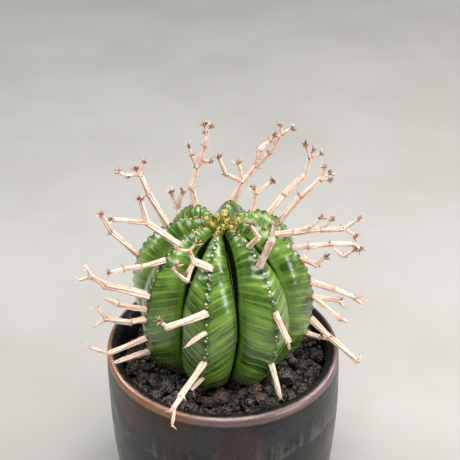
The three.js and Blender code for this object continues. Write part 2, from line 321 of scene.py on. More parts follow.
def fine(point: Vector, scale: float, seed: float) -> float:
    """Returns smooth noise from -1 to 1 at a point, with features of the given size in mm."""
    return noise.noise(point * (1.0 / (scale * MM)) + Vector((seed, 2.3 * seed, -1.7 * seed)))


def clamp(value: float) -> float:
    """Returns a value held between 0 and 1."""
    return min(1.0, max(0.0, value))


def ease(value: float) -> float:
    """Returns a smooth rise from 0 to 1 as a value goes from 0 to 1."""
    share = clamp(value)
    return share * share * (3 - 2 * share)


def any_way(rng: random.Random, lift: float = 1.0) -> Vector:
    """Returns a random vector, whose height varies by lift."""
    return Vector((rng.gauss(0, 1), rng.gauss(0, 1), rng.gauss(0, lift)))


# ------------------------------------------------------------------ finishes
@dataclass(frozen=True)
class Paint:
    """A colour in linear light."""

    red: float
    green: float
    blue: float

    def rgba(self) -> tuple[float, float, float, float]:
        """Returns the colour with full opacity."""
        return (self.red, self.green, self.blue, 1.0)


def shade(code: str) -> Paint:
    """Returns the linear colour of a hexadecimal display colour such as 4f7d2a."""
    parts = [int(code[i:i + 2], 16) / 255 for i in (0, 2, 4)]
    return Paint(*[c / 12.92 if c <= 0.04045 else ((c + 0.055) / 1.055) ** 2.4 for c in parts])


class Graph:
    """Writes the nodes of one shader or node group."""

    def __init__(self, tree: bpy.types.NodeTree) -> None:
        """Takes an empty node tree."""
        self.tree = tree

    def node(self, kind: str, inputs: dict[str | int, Any] | None = None,
             **settings: Any) -> bpy.types.Node:
        """Adds a node.

        Args:
            kind: its type, without the ShaderNode prefix.
            inputs: values or sockets for its inputs, by name or number.
            settings: its properties.

        Returns:
            The node.
        """
        made = self.tree.nodes.new("ShaderNode" + kind)
        for key, value in settings.items():
            setattr(made, key, value)
        for key, value in (inputs or {}).items():
            self.feed(made.inputs[key], value)
        return made

    def feed(self, socket: bpy.types.NodeSocket, value: Any) -> None:
        """Links a socket to an input, or sets its value.

        Args:
            socket: the input.
            value: the socket, paint or number that goes into it.
        """
        if isinstance(value, bpy.types.NodeSocket):
            self.tree.links.new(value, socket)
        else:
            socket.default_value = value.rgba() if isinstance(value, Paint) else value

    def math(self, operation: str, *values: Any, clamp: bool = False) -> Any:
        """Returns the result of one operation on up to three values."""
        made = self.node("Math", dict(enumerate(values)), operation=operation, use_clamp=clamp)
        return made.outputs[0]

    def times(self, product: Any, *others: Any) -> Any:
        """Multiplies values.

        Args:
            product: the first value.
            others: what it is multiplied by, one after another.

        Returns:
            The product.
        """
        for other in others:
            product = self.math("MULTIPLY", product, other)
        return product

    def plus(self, a: Any, b: Any) -> Any:
        """Returns the sum of two values."""
        return self.math("ADD", a, b)

    def line(self, value: Any, slope: float, base: float) -> Any:
        """Returns a value times a slope, plus a base."""
        return self.math("MULTIPLY_ADD", value, slope, base)

    def blend(self, share: Any, a: Any, b: Any) -> Any:
        """Mixes two colours.

        Args:
            share: how far the first one goes towards the second.
            a: the first colour.
            b: the second colour.

        Returns:
            The mixed colour.
        """
        made = self.node("Mix", data_type="RGBA", blend_type="MIX")
        for key, value in (("Factor", share), (6, a), (7, b)):
            self.feed(made.inputs[key], value)
        return made.outputs[2]

    def step(self, value: Any, low: float, high: float) -> Any:
        """Returns a smooth rise from 0 at low to 1 at high."""
        made = self.node("MapRange", {"Value": value, "From Min": low, "From Max": high},
                         interpolation_type="SMOOTHSTEP")
        return made.outputs["Result"]

    def noise(self, vector: Any, scale: Any, detail: float = 3.0, rough: float = 0.55) -> Any:
        """Returns noise from 0 to 1 on a vector."""
        made = self.node("TexNoise", {"Vector": vector, "Scale": scale, "Detail": detail,
                                      "Roughness": rough})
        return made.outputs["Fac"]

    def stretch(self, vector: Any, scale: Sequence[float]) -> Any:
        """Returns a vector scaled along its axes."""
        return self.node("Mapping", {"Vector": vector, "Scale": scale}).outputs["Vector"]

    def attribute(self, name: str) -> Any:
        """Returns a number stored on the piece's points."""
        return self.node("Attribute", attribute_name=name).outputs["Fac"]

    def part(self, vector: Any, axis: str) -> Any:
        """Returns one of a vector's three parts."""
        return self.node("SeparateXYZ", {0: vector}).outputs[axis]


@dataclass
class Group:
    """A node group while it is written: its tree, its writer and both its ends."""

    tree: bpy.types.NodeTree
    g: Graph
    source: bpy.types.Node
    target: bpy.types.Node

    @classmethod
    def start(cls, name: str, inputs: dict[str, float], outputs: Sequence[str]) -> "Group":
        """Starts a group that works on a vector.

        Args:
            name: the group's name.
            inputs: its number inputs and their defaults.
            outputs: its number outputs.

        Returns:
            The group.
        """
        tree = bpy.data.node_groups.new(name, "ShaderNodeTree")
        tree.interface.new_socket("Vector", in_out="INPUT", socket_type="NodeSocketVector")
        for key, value in inputs.items():
            made = tree.interface.new_socket(key, in_out="INPUT", socket_type="NodeSocketFloat")
            made.default_value = value
        for key in outputs:
            tree.interface.new_socket(key, in_out="OUTPUT", socket_type="NodeSocketFloat")
        return cls(tree, Graph(tree), tree.nodes.new("NodeGroupInput"),
                   tree.nodes.new("NodeGroupOutput"))

    def scale(self, size: str) -> Any:
        """Returns the texture scale for a size input in millimetres."""
        return self.g.math("DIVIDE", 1.0 / MM, self.source.outputs[size])


class Effects:
    """Node groups that several finishes share."""

    def __init__(self) -> None:
        """Makes the groups once."""
        self.mottle = self._mottle()
        self.grain = self._grain()

    @staticmethod
    def _mottle() -> bpy.types.NodeTree:
        """Writes the uneven patches, large and small, that no surface is without.

        Returns:
            The group.
        """
        group = Group.start("mottle", {"Patch Size": 12.0, "Speck Size": 1.5},
                            ("Patches", "Specks"))
        for size, output, low, high in (("Patch Size", "Patches", 0.38, 0.64),
                                        ("Speck Size", "Specks", 0.45, 0.7)):
            cloud = group.g.noise(group.source.outputs["Vector"], group.scale(size), 4.0, 0.6)
            group.g.feed(group.target.inputs[output], group.g.step(cloud, low, high))
        return group.tree

    @staticmethod
    def _grain() -> bpy.types.NodeTree:
        """Writes the height of a fine, pitted grain.

        Returns:
            The group.
        """
        group = Group.start("grain", {"Grain Size": 0.6, "Pits": 0.5}, ("Height",))
        g, vector, scale = group.g, group.source.outputs["Vector"], group.scale("Grain Size")
        cells = g.node("TexVoronoi", {"Vector": vector, "Scale": g.times(scale, 0.6)})
        pit = g.times(g.step(cells.outputs["Distance"], 0.05, 0.45), group.source.outputs["Pits"])
        g.feed(group.target.inputs["Height"], g.plus(g.noise(vector, scale, 5.0, 0.65), pit))
        return group.tree


class Finish:
    """A material whose colour is built up coat by coat."""

    def __init__(self, name: str, effects: Effects) -> None:
        """Starts a material.

        Args:
            name: the material's name.
            effects: the shared node groups.
        """
        self.material = bpy.data.materials.new(name)
        self.material.use_nodes = True
        self.effects = effects
        self.g = Graph(self.material.node_tree)
        self.shader = self.material.node_tree.nodes["Principled BSDF"]
        self.place = self.g.node("TexCoord").outputs["Object"]
        self.colour: Any = None

    def _use(self, group: bpy.types.NodeTree, **inputs: Any) -> Any:
        """Places a shared group on the piece.

        Args:
            group: the group.
            inputs: its own values here; underscores stand for spaces.

        Returns:
            The group's outputs.
        """
        made = self.g.tree.nodes.new("ShaderNodeGroup")
        made.node_tree = group
        for key, value in {"Vector": self.place, **inputs}.items():
            self.g.feed(made.inputs[key.replace("_", " ")], value)
        return made.outputs

    def clouds(self, patch: float, speck: float) -> tuple[Any, Any]:
        """Returns masks of patches and of specks of these sizes, in millimetres."""
        made = self._use(self.effects.mottle, Patch_Size=patch, Speck_Size=speck)
        return made["Patches"], made["Specks"]

    def grain(self, size: float, pits: float) -> Any:
        """Returns the height of a pitted grain of this size, in millimetres."""
        return self._use(self.effects.grain, Grain_Size=size, Pits=pits)["Height"]

    def over(self, tint: Any, mask: Any, share: float = 1.0) -> None:
        """Lays one more tint over the colour.

        Args:
            tint: the tint.
            mask: where it lies, from 0 to 1.
            share: how well it covers there.
        """
        if share != 1.0:
            mask = self.g.times(mask, share)
        self.colour = self.g.blend(mask, self.colour, tint)

    def set(self, **inputs: Any) -> None:
        """Links the colour and sets the shader's own inputs; underscores stand for spaces."""
        for key, value in {"Base_Color": self.colour, **inputs}.items():
            self.g.feed(self.shader.inputs[key.replace("_", " ")], value)

    def bump(self, height: Any, depth: float, strength: float) -> None:
        """Gives the surface a fine relief.

        Args:
            height: the height socket, 0 to 1.
            depth: what a height of 1 is, in millimetres.
            strength: how much of it shows.
        """
        made = self.g.node("Bump", {"Height": height, "Distance": depth * MM,
                                    "Strength": strength})
        self.g.feed(self.shader.inputs["Normal"], made.outputs["Normal"])

    def dress(self, *pieces: bpy.types.Object) -> None:
        """Puts the material on pieces, in every slot they have.

        Args:
            pieces: the pieces.
        """
        for piece in pieces:
            if not piece.data.materials:
                piece.data.materials.append(self.material)
            for slot in piece.material_slots:
                slot.link = "OBJECT"
                slot.material = self.material


@dataclass(frozen=True)
class Recipe:
    """What a finish is mixed from; each kind writes its own shader."""

    name: ClassVar[str]

    def make(self, effects: Effects) -> Finish:
        """Makes the finish.

        Args:
            effects: the shared node groups.

        Returns:
            The finish.
        """
        finish = Finish(self.name, effects)
        self.write(finish, finish.g)
        return finish

    def write(self, f: Finish, g: Graph) -> None:
        """Writes the shader of finish f with its graph g."""
        raise NotImplementedError


@dataclass(frozen=True)
class Patch:
    """A place on the glaze that fired to another colour."""

    bearing: float
    height: float
    reach: float
    tint: Paint
    strength: float


@dataclass(frozen=True)
class GlazeRecipe(Recipe):
    """Dark, half metallic glaze that ran into streaks and broke to copper on the rim's corner,
    with a painted highlight along that corner and painted glints on the rim's top.
    """

    pot: "ThrownPot"
    name: ClassVar[str] = "dark_glaze"
    gunmetal: Paint = shade("19191b")
    slate: Paint = shade("2b2d33")
    umber: Paint = shade("2c1f1a")
    ash: Paint = shade("7c7a74")
    copper: Paint = shade("a4765a")
    mauve: Paint = shade("7b6462")
    patches: tuple[Patch, ...] = (
        Patch(-50, 78, 14, shade("4d3626"), 0.75),
        Patch(-24, 76, 10, shade("44301f"), 0.6),
        Patch(-24, 56, 10, shade("3f2a1f"), 0.7),
        Patch(8, 68, 13, shade("3d2625"), 0.75),
        Patch(13, 48, 15, shade("3f2826"), 0.75),
        Patch(16, 26, 15, shade("3b2623"), 0.7),
        Patch(-36, 26, 15, shade("463026"), 0.7),
        Patch(80, 50, 20, shade("3e3432"), 0.6),
        Patch(150, 60, 22, shade("4b3429"), 0.7),
        Patch(215, 30, 20, shade("463028"), 0.7),
        Patch(262, 62, 16, shade("464954"), 0.6),
    )

    def write(self, f: Finish, g: Graph) -> None:
        """Writes the glaze.

        Args:
            f: the finish.
            g: its graph.
        """
        patches, specks = f.clouds(18.0, 0.9)
        runs = g.noise(g.stretch(f.place, (1, 1, 0.14)), 260.0, 4.0, 0.62)
        wide_runs = g.noise(g.stretch(f.place, (1, 1, 0.22)), 70.0, 3.0, 0.5)
        f.colour = g.blend(patches, self.gunmetal, self.slate)
        f.over(self.slate, g.step(runs, 0.46, 0.7), 0.75)
        f.over(self.umber, g.step(wide_runs, 0.5, 0.68), 0.6)
        self._fired_patches(f, g)
        self._tide_line(f, g, runs)
        rim, corner, painted_glints = self._rim_masks(f, g)
        left = g.step(g.part(f.place, "X"), -0.004, -0.022)
        # the rim's outer corner: the glaze breaks to copper and mauve there, with a painted
        # highlight along it
        broken_glaze_and_highlight = g.blend(g.times(specks, 0.5), g.blend(left, self.mauve, self.copper), self.ash)
        f.over(self.gunmetal, rim, 0.85)
        f.over(broken_glaze_and_highlight, corner)
        # painted glints: pale specks on the rim's flat top, standing for the lights' reflections
        f.over(self.ash, painted_glints)
        f.over(self.ash, specks, 0.10)
        rough = g.plus(g.line(patches, 0.14, 0.3), g.times(runs, 0.1))
        f.set(Roughness=rough, Metallic=g.line(patches, -0.2, 0.6), Coat_Weight=0.15,
              Coat_Roughness=0.22)
        f.bump(g.plus(f.grain(0.9, 0.35), g.times(runs, 0.9)), 0.12, 0.55)

    def _fired_patches(self, f: Finish, g: Graph) -> None:
        """Lays the patches of other colours over the glaze.

        Args:
            f: the finish.
            g: its graph.
        """
        wander = g.noise(g.stretch(f.place, (1, 1, 0.5)), 80.0, 3.0)
        for patch in self.patches:
            spot = heading(patch.bearing, 0) * self.pot.rim_radius * MM
            spot.z = patch.height * MM
            far = g.node("VectorMath", {0: f.place, 1: spot}, operation="DISTANCE")
            reach = g.line(wander, patch.reach * MM, patch.reach * 0.45 * MM)
            inside = g.step(g.math("DIVIDE", far.outputs["Value"], reach), 1.1, 0.65)
            f.over(patch.tint, inside, patch.strength)

    def _tide_line(self, f: Finish, g: Graph, runs: Any) -> None:
        """Adds the pale, wavy edge where the upper glaze stopped running, and its streaks.

        Args:
            f: the finish.
            g: its graph.
            runs: the fine streaks.
        """
        wave = g.times(g.noise(g.stretch(f.place, (1, 1, 0.4)), 34.0, 4.0), 0.040)
        above = g.math("SUBTRACT", g.part(f.place, "Z"), g.plus(wave, 0.0365))
        edge = g.times(g.step(above, -0.0008, 0.0), g.step(above, 0.0034, 0.0004))
        torn = g.step(g.noise(f.place, 130.0, 4.0, 0.7), 0.42, 0.68)
        drawn = g.times(g.step(above, -0.0004, 0.001), g.step(above, 0.015, 0.0),
                        g.step(runs, 0.47, 0.62))
        f.over(self.gunmetal, g.step(above, 0.001, -0.004), 0.35)
        f.over(self.ash, drawn, 0.34)
        f.over(self.ash, g.times(edge, torn), 0.36)

    def _rim_masks(self, f: Finish, g: Graph) -> tuple[Any, Any, Any]:
        """Finds the parts of the rim.

        Args:
            f: the finish.
            g: its graph.

        Returns:
            The masks of its flat top, of its outer corner, where the glaze breaks and a highlight
            is painted, and of its painted glints.
        """
        height = g.plus(g.part(f.place, "Z"), g.times(g.part(f.place, "X"), self.pot.rim_slope))
        flat = g.stretch(f.place, (1, 1, 0))
        reach = g.node("VectorMath", {0: flat}, operation="LENGTH").outputs["Value"]
        torn = g.times(g.noise(f.place, 300.0, 4.0, 0.7), 0.0014)
        top, radius = (self.pot.height - 2.6) * MM, self.pot.rim_radius
        rim = g.step(height, top, top + 0.0016)
        outer = g.step(g.plus(reach, torn), (radius - 1.9) * MM, (radius - 1.1) * MM)
        low = g.step(g.plus(height, torn), top - 0.0006, top + 0.0008)
        corner = g.times(low, outer, 0.85)
        # painted glints: pale specks on the rim's top, more of them on the left side
        cells = g.node("TexVoronoi", {"Vector": f.place, "Scale": 1500.0})
        glint = g.step(cells.outputs["Distance"], 0.32, 0.18)
        chosen = g.step(g.part(cells.outputs["Color"], "X"), 0.62, 0.7)
        sides = g.line(g.step(g.part(f.place, "X"), 0.0, -0.02), 0.6, 0.5)
        painted_glints = g.times(glint, chosen, rim, g.math("SUBTRACT", 1.0, corner), sides)
        return rim, corner, painted_glints


@dataclass(frozen=True)
class LavaRecipe(Recipe):
    """Dark, porous lava, each grain of its own tone."""

    name: ClassVar[str] = "lava_grain"
    black: Paint = shade("110f0d")
    brown: Paint = shade("3a2f27")
    tan: Paint = shade("6b5444")
    dust_and_glint: Paint = shade("b3aba0")

    def write(self, f: Finish, g: Graph) -> None:
        """Writes the lava.

        Args:
            f: the finish.
            g: its graph.
        """
        tone = g.attribute("tone")
        patches, specks = f.clouds(2.6, 0.45)
        f.colour = g.blend(tone, self.black, self.brown)
        f.over(self.tan, g.step(tone, 0.88, 0.99))
        f.over(self.brown, patches, 0.5)
        # pale specks and spots: partly dust on the grains, partly painted glints standing for the
        # lights' reflections
        f.over(self.dust_and_glint, specks, 0.2)
        f.over(self.dust_and_glint, g.step(g.noise(f.place, 1300.0, 3.0, 0.6), 0.60, 0.70), 0.36)
        f.set(Roughness=g.line(specks, 0.25, 0.2), Specular_IOR_Level=0.8)
        f.bump(f.grain(0.9, 1.3), 0.75, 1.0)


@dataclass(frozen=True)
class SkinRecipe(Recipe):
    """Smooth green skin with fine pale lines that rise from each ridge to the creases."""

    name: ClassVar[str] = "green_skin"
    shadow: Paint = shade("071003")
    deep: Paint = shade("122807")
    leaf: Paint = shade("2c4b10")
    fresh: Paint = shade("6b8f32")
    line: Paint = shade("a3be62")
    bark: Paint = shade("6d6040")
    line_gap: float = 3.9

    def write(self, f: Finish, g: Graph) -> None:
        """Writes the skin.

        Args:
            f: the finish.
            g: its graph.
        """
        across, along = g.attribute("across"), g.attribute("along")
        patches, specks = f.clouds(13.0, 1.1)
        fibre, band = self._strands(g, across)
        jitter = g.times(g.noise(f.place, 260.0, 3.0, 0.6), 0.9)
        turn = g.times(g.plus(g.attribute("course"), jitter), 2 * math.pi / self.line_gap)
        wave, finer = (g.line(g.math("COSINE", t), 0.5, 0.5) for t in (turn, g.times(turn, 2.0)))
        f.colour = g.blend(g.times(patches, 0.6), self.leaf, self.fresh)
        f.over(self.fresh, g.step(band, 0.44, 0.62), 0.75)
        f.over(self.deep, g.step(band, 0.5, 0.3), 0.4)
        f.over(self.fresh, g.step(fibre, 0.52, 0.75), 0.3)
        f.over(self.deep, g.step(fibre, 0.45, 0.25), 0.25)
        thin = g.plus(g.times(g.math("POWER", wave, 7.0), 0.5),
                      g.times(g.math("POWER", finer, 9.0), 0.2))
        broken = g.step(g.noise(f.place, 120.0, 2.0, 0.5), 0.25, 0.62)
        away = g.times(g.step(across, 0.05, 0.22), g.step(across, 0.98, 0.86))
        f.over(self.line, g.math("MULTIPLY", g.times(thin, broken), away, clamp=True), 0.55)
        inward = g.plus(across, g.times(g.step(along, 50.0, 12.0), 0.22))
        # painted highlight: a pale line along the lit lip of each face beside the crease
        lip_highlight = g.times(g.step(inward, 0.84, 0.90), g.step(inward, 0.97, 0.93))
        # painted shade: the faces darken towards the creases, and the creases go near black, more
        # widely near the crown
        f.over(self.deep, g.step(inward, 0.5, 0.95), 0.3)
        f.over(self.fresh, lip_highlight, 0.45)
        f.over(self.shadow, g.step(inward, 0.93, 0.99), 0.95)
        f.over(self.deep, g.step(across, 0.16, 0.04), 0.35)
        f.over(self.deep, g.attribute("scar"), 0.75)
        f.over(self.bark, g.step(along, 84.0, 97.0), 0.8)
        f.set(Roughness=g.line(specks, 0.12, 0.22), Specular_IOR_Level=0.4, Coat_Weight=0.6,
              Coat_Roughness=0.25)
        f.bump(g.plus(g.times(g.math("POWER", wave, 2.0), 0.3), g.times(fibre, 0.7)), 0.12, 0.75)

    @staticmethod
    def _strands(g: Graph, across: Any) -> tuple[Any, Any]:
        """Draws the streaks that run beside the pale lines.

        Args:
            g: the finish's graph.
            across: the place across the face.

        Returns:
            The fine streaks and the broad ones.
        """
        flow = g.node("CombineXYZ", {"X": g.attribute("course"), "Y": g.times(across, 2.4),
                                     "Z": g.times(g.attribute("rib"), 7.3)})
        vector = flow.outputs["Vector"]
        return g.noise(vector, 1.5, 4.0, 0.62), g.noise(vector, 0.22, 2.0, 0.5)


@dataclass(frozen=True)
class StalkRecipe(Recipe):
    """Dry straw, brown where it withered, with a painted highlight on the crests of its folds and
    painted shade in their hollows.
    """

    name: ClassVar[str] = "dry_stalk"
    straw: Paint = shade("dcb69e")
    pale: Paint = shade("faeadb")
    blush: Paint = shade("c18a76")
    rust: Paint = shade("8a5230")
    crumb: Paint = shade("55301f")

    def write(self, f: Finish, g: Graph) -> None:
        """Writes the straw.

        Args:
            f: the finish.
            g: its graph.
        """
        fibre = g.node("Attribute", attribute_name="fibre").outputs["Vector"]
        strands = g.noise(fibre, 3.0, 4.0, 0.65)
        patches, specks = f.clouds(4.5, 0.5)
        fold_light, age = g.attribute("fold_light"), g.attribute("age")
        f.colour = g.blend(g.step(strands, 0.36, 0.62), self.straw, self.pale)
        # painted highlight on the crests of the wrinkles and painted shade in their hollows
        f.over(self.pale, g.step(fold_light, 0.1, 0.9), 0.7)
        f.over(self.blush, g.step(fold_light, -0.1, -0.9), 0.5)
        f.over(self.blush, patches, 0.4)
        f.over(self.rust, specks, 0.12)
        f.over(self.rust, g.step(age, 0.05, 0.7), 0.85)
        f.over(self.crumb, g.step(age, 0.7, 1.0))
        f.set(Roughness=0.68)
        f.bump(g.plus(g.times(strands, 1.4), f.grain(0.35, 0.2)), 0.18, 0.85)


@dataclass(frozen=True)
class ScarRecipe(Recipe):
    """Corky, pale scars left where small leaves dropped."""

    name: ClassVar[str] = "leaf_scar"
    cork: Paint = shade("e3dcbd")
    ring: Paint = shade("a9803f")

    def write(self, f: Finish, g: Graph) -> None:
        """Writes the scars' cork.

        Args:
            f: the finish.
            g: its graph.
        """
        f.colour = g.blend(f.clouds(1.4, 0.35)[0], self.cork, g.blend(0.35, self.cork, self.ring))
        f.over(self.ring, g.attribute("age"))
        f.set(Roughness=0.6)
        f.bump(f.grain(0.3, 0.4), 0.08, 0.7)


@dataclass(frozen=True)
class BudRecipe(Recipe):
    """Fresh yellow-green shoots with orange, drying tips."""

    name: ClassVar[str] = "fresh_bud"
    lime: Paint = shade("879c36")
    yellow: Paint = shade("cdc968")
    orange: Paint = shade("c98a48")
    brown: Paint = shade("7c4727")

    def write(self, f: Finish, g: Graph) -> None:
        """Writes the shoots' skin.

        Args:
            f: the finish.
            g: its graph.
        """
        patches, specks = f.clouds(1.8, 0.4)
        age = g.attribute("age")
        f.colour = g.blend(patches, self.lime, self.yellow)
        f.over(self.orange, g.step(age, 0.3, 0.75))
        f.over(self.brown, g.step(age, 0.75, 1.0))
        f.over(self.lime, specks, 0.25)
        f.set(Roughness=0.4)
        f.bump(f.grain(0.4, 0.3), 0.08, 0.6)


@dataclass(frozen=True)
class PlainRecipe(Recipe):
    """Two tones in uneven patches on a fine grain."""

    first: Paint
    second: Paint
    share: float
    clouds: tuple[float, float]
    roughness: float
    grain: tuple[float, float]
    relief: tuple[float, float]

    def write(self, f: Finish, g: Graph) -> None:
        """Writes the plain finish.

        Args:
            f: the finish.
            g: its graph.
        """
        f.colour = g.blend(g.times(f.clouds(*self.clouds)[0], self.share), self.first,
                           self.second)
        f.set(Roughness=self.roughness)
        f.bump(f.grain(*self.grain), *self.relief)


@dataclass(frozen=True)
class NetRecipe(PlainRecipe):
    """Green plastic net, dulled by damp soil."""

    name: ClassVar[str] = "net_plastic"
    first: Paint = shade("2c4a35")
    second: Paint = shade("4d4438")
    share: float = 0.5
    clouds: tuple[float, float] = (5.0, 0.8)
    roughness: float = 0.55
    grain: tuple[float, float] = (0.5, 0.2)
    relief: tuple[float, float] = (0.05, 0.5)


@dataclass(frozen=True)
class FloorRecipe(PlainRecipe):
    """Pale, matt studio floor."""

    name: ClassVar[str] = "studio_floor"
    first: Paint = shade("aaa8a5")
    second: Paint = shade("a3a19c")
    share: float = 1.0
    clouds: tuple[float, float] = (120.0, 4.0)
    roughness: float = 0.8
    grain: tuple[float, float] = (2.0, 0.1)
    relief: tuple[float, float] = (0.03, 0.3)


# ------------------------------------------------------------------ pot
@dataclass
class ThrownPot:
    """The hand-thrown pot, from its foot ring to a rim that stands a little higher on one side."""

    height: float = 85.0
    rim_radius: float = 50.0
    wall: float = 5.5
    rim_slope: float = 0.034
    sides: int = 96
    plain_middle: float = 12.0
    inner_rings: tuple[float, float] = (4.6, 0.22)
    outer_rings: tuple[float, float] = (3.4, 0.05)

    def profile(self) -> list[tuple[float, float]]:
        """Lists the rings from the drain hole, under the foot, over the rim and back inside.

        Returns:
            Radius and height of each ring, in millimetres.
        """
        r, h, inner = self.rim_radius, self.height, self.rim_radius - self.wall
        outside = [(9.0, 3.2), (9.4, 2.5), (20, 2.5), (33.6, 2.5), (34.7, 2.1), (35.1, 0.5),
                   (35.9, 0.0), (39.9, 0.0), (41.0, 0.25), (42.3, 1.0), (44.2, 3.0), (45.8, 6.2),
                   (47.2, 11), (48.0, 18), (r - 1.3, 28), (r - 0.6, 36), (r - 0.15, 44),
                   (r + 0.2, 52), (r + 0.4, 60), (r + 0.4, 67), (r + 0.3, h - 12),
                   (r + 0.15, h - 7.5), (r + 0.05, h - 4.5)]
        rim = [(r - 0.05, h - 2.6), (r - 0.4, h - 1.2), (r - 1.1, h - 0.35), (r - 2.1, h),
               (r - 3.4, h), (inner + 1.1, h - 0.25), (inner + 0.4, h - 0.8), (inner, h - 1.8)]
        inside = [(inner - 0.1, h - 4), (inner - 0.25, h - 8), (inner - 0.45, 70),
                  (inner - 0.9, 60), (inner - 1.3, 46), (inner - 2.2, 25), (inner - 2.6, 19),
                  (inner - 3.6, 13), (inner - 6, 9.2), (34, 7.2), (31, 7), (20, 7), (10, 7),
                  (9.2, 6.7), (9.0, 5.4), (9.0, 3.2)]
        return outside + rim + inside

    def build(self) -> bpy.types.Object:
        """Throws the pot, then gives it the marks of the hands and its leaning rim.

        Returns:
            The pot.
        """
        pot = thrown("glazed_pot", self.profile(), self.sides, loop=True)
        modify(pot, "SUBSURF", levels=2, render_levels=2)
        sculpt(pot, self._hand_marks)
        smooth(pot)
        return pot

    def _hand_marks(self, point: Vector) -> Vector:
        """Moves a point by the throwing rings, the unevenness and the lean of the rim.

        Args:
            point: the point, in metres.

        Returns:
            Where it goes.
        """
        z = point.z / MM
        reach = math.hypot(point.x, point.y) / MM
        if reach > self.plain_middle:
            turn = math.atan2(point.y, point.x)
            inside = reach < self.rim_radius - 3.2 and z > 9
            gap, depth = self.inner_rings if inside else self.outer_rings
            share = clamp((z - 5) / 8) * (1.0 if z < self.height - 3 else 0.35)
            rings = math.sin(2 * math.pi * z / gap + 0.6 * math.sin(turn))
            push = share * (depth * rings + 0.22 * fine(point, 22, 3.1)
                            + 0.05 * fine(point, 4, 8.4))
            point.x += push * MM * math.cos(turn)
            point.y += push * MM * math.sin(turn)
            if z > self.height - 6:
                rise = (z - self.height + 6) / 6
                sway = Vector((math.cos(turn), math.sin(turn), 0)) * 0.05
                point.z += rise * MM * (0.3 * fine(sway, 26, 5.2) + 0.07 * fine(point, 3, 1.3))
        point.z -= point.x * self.rim_slope * (max(0.0, z) / self.height) ** 4
        return point


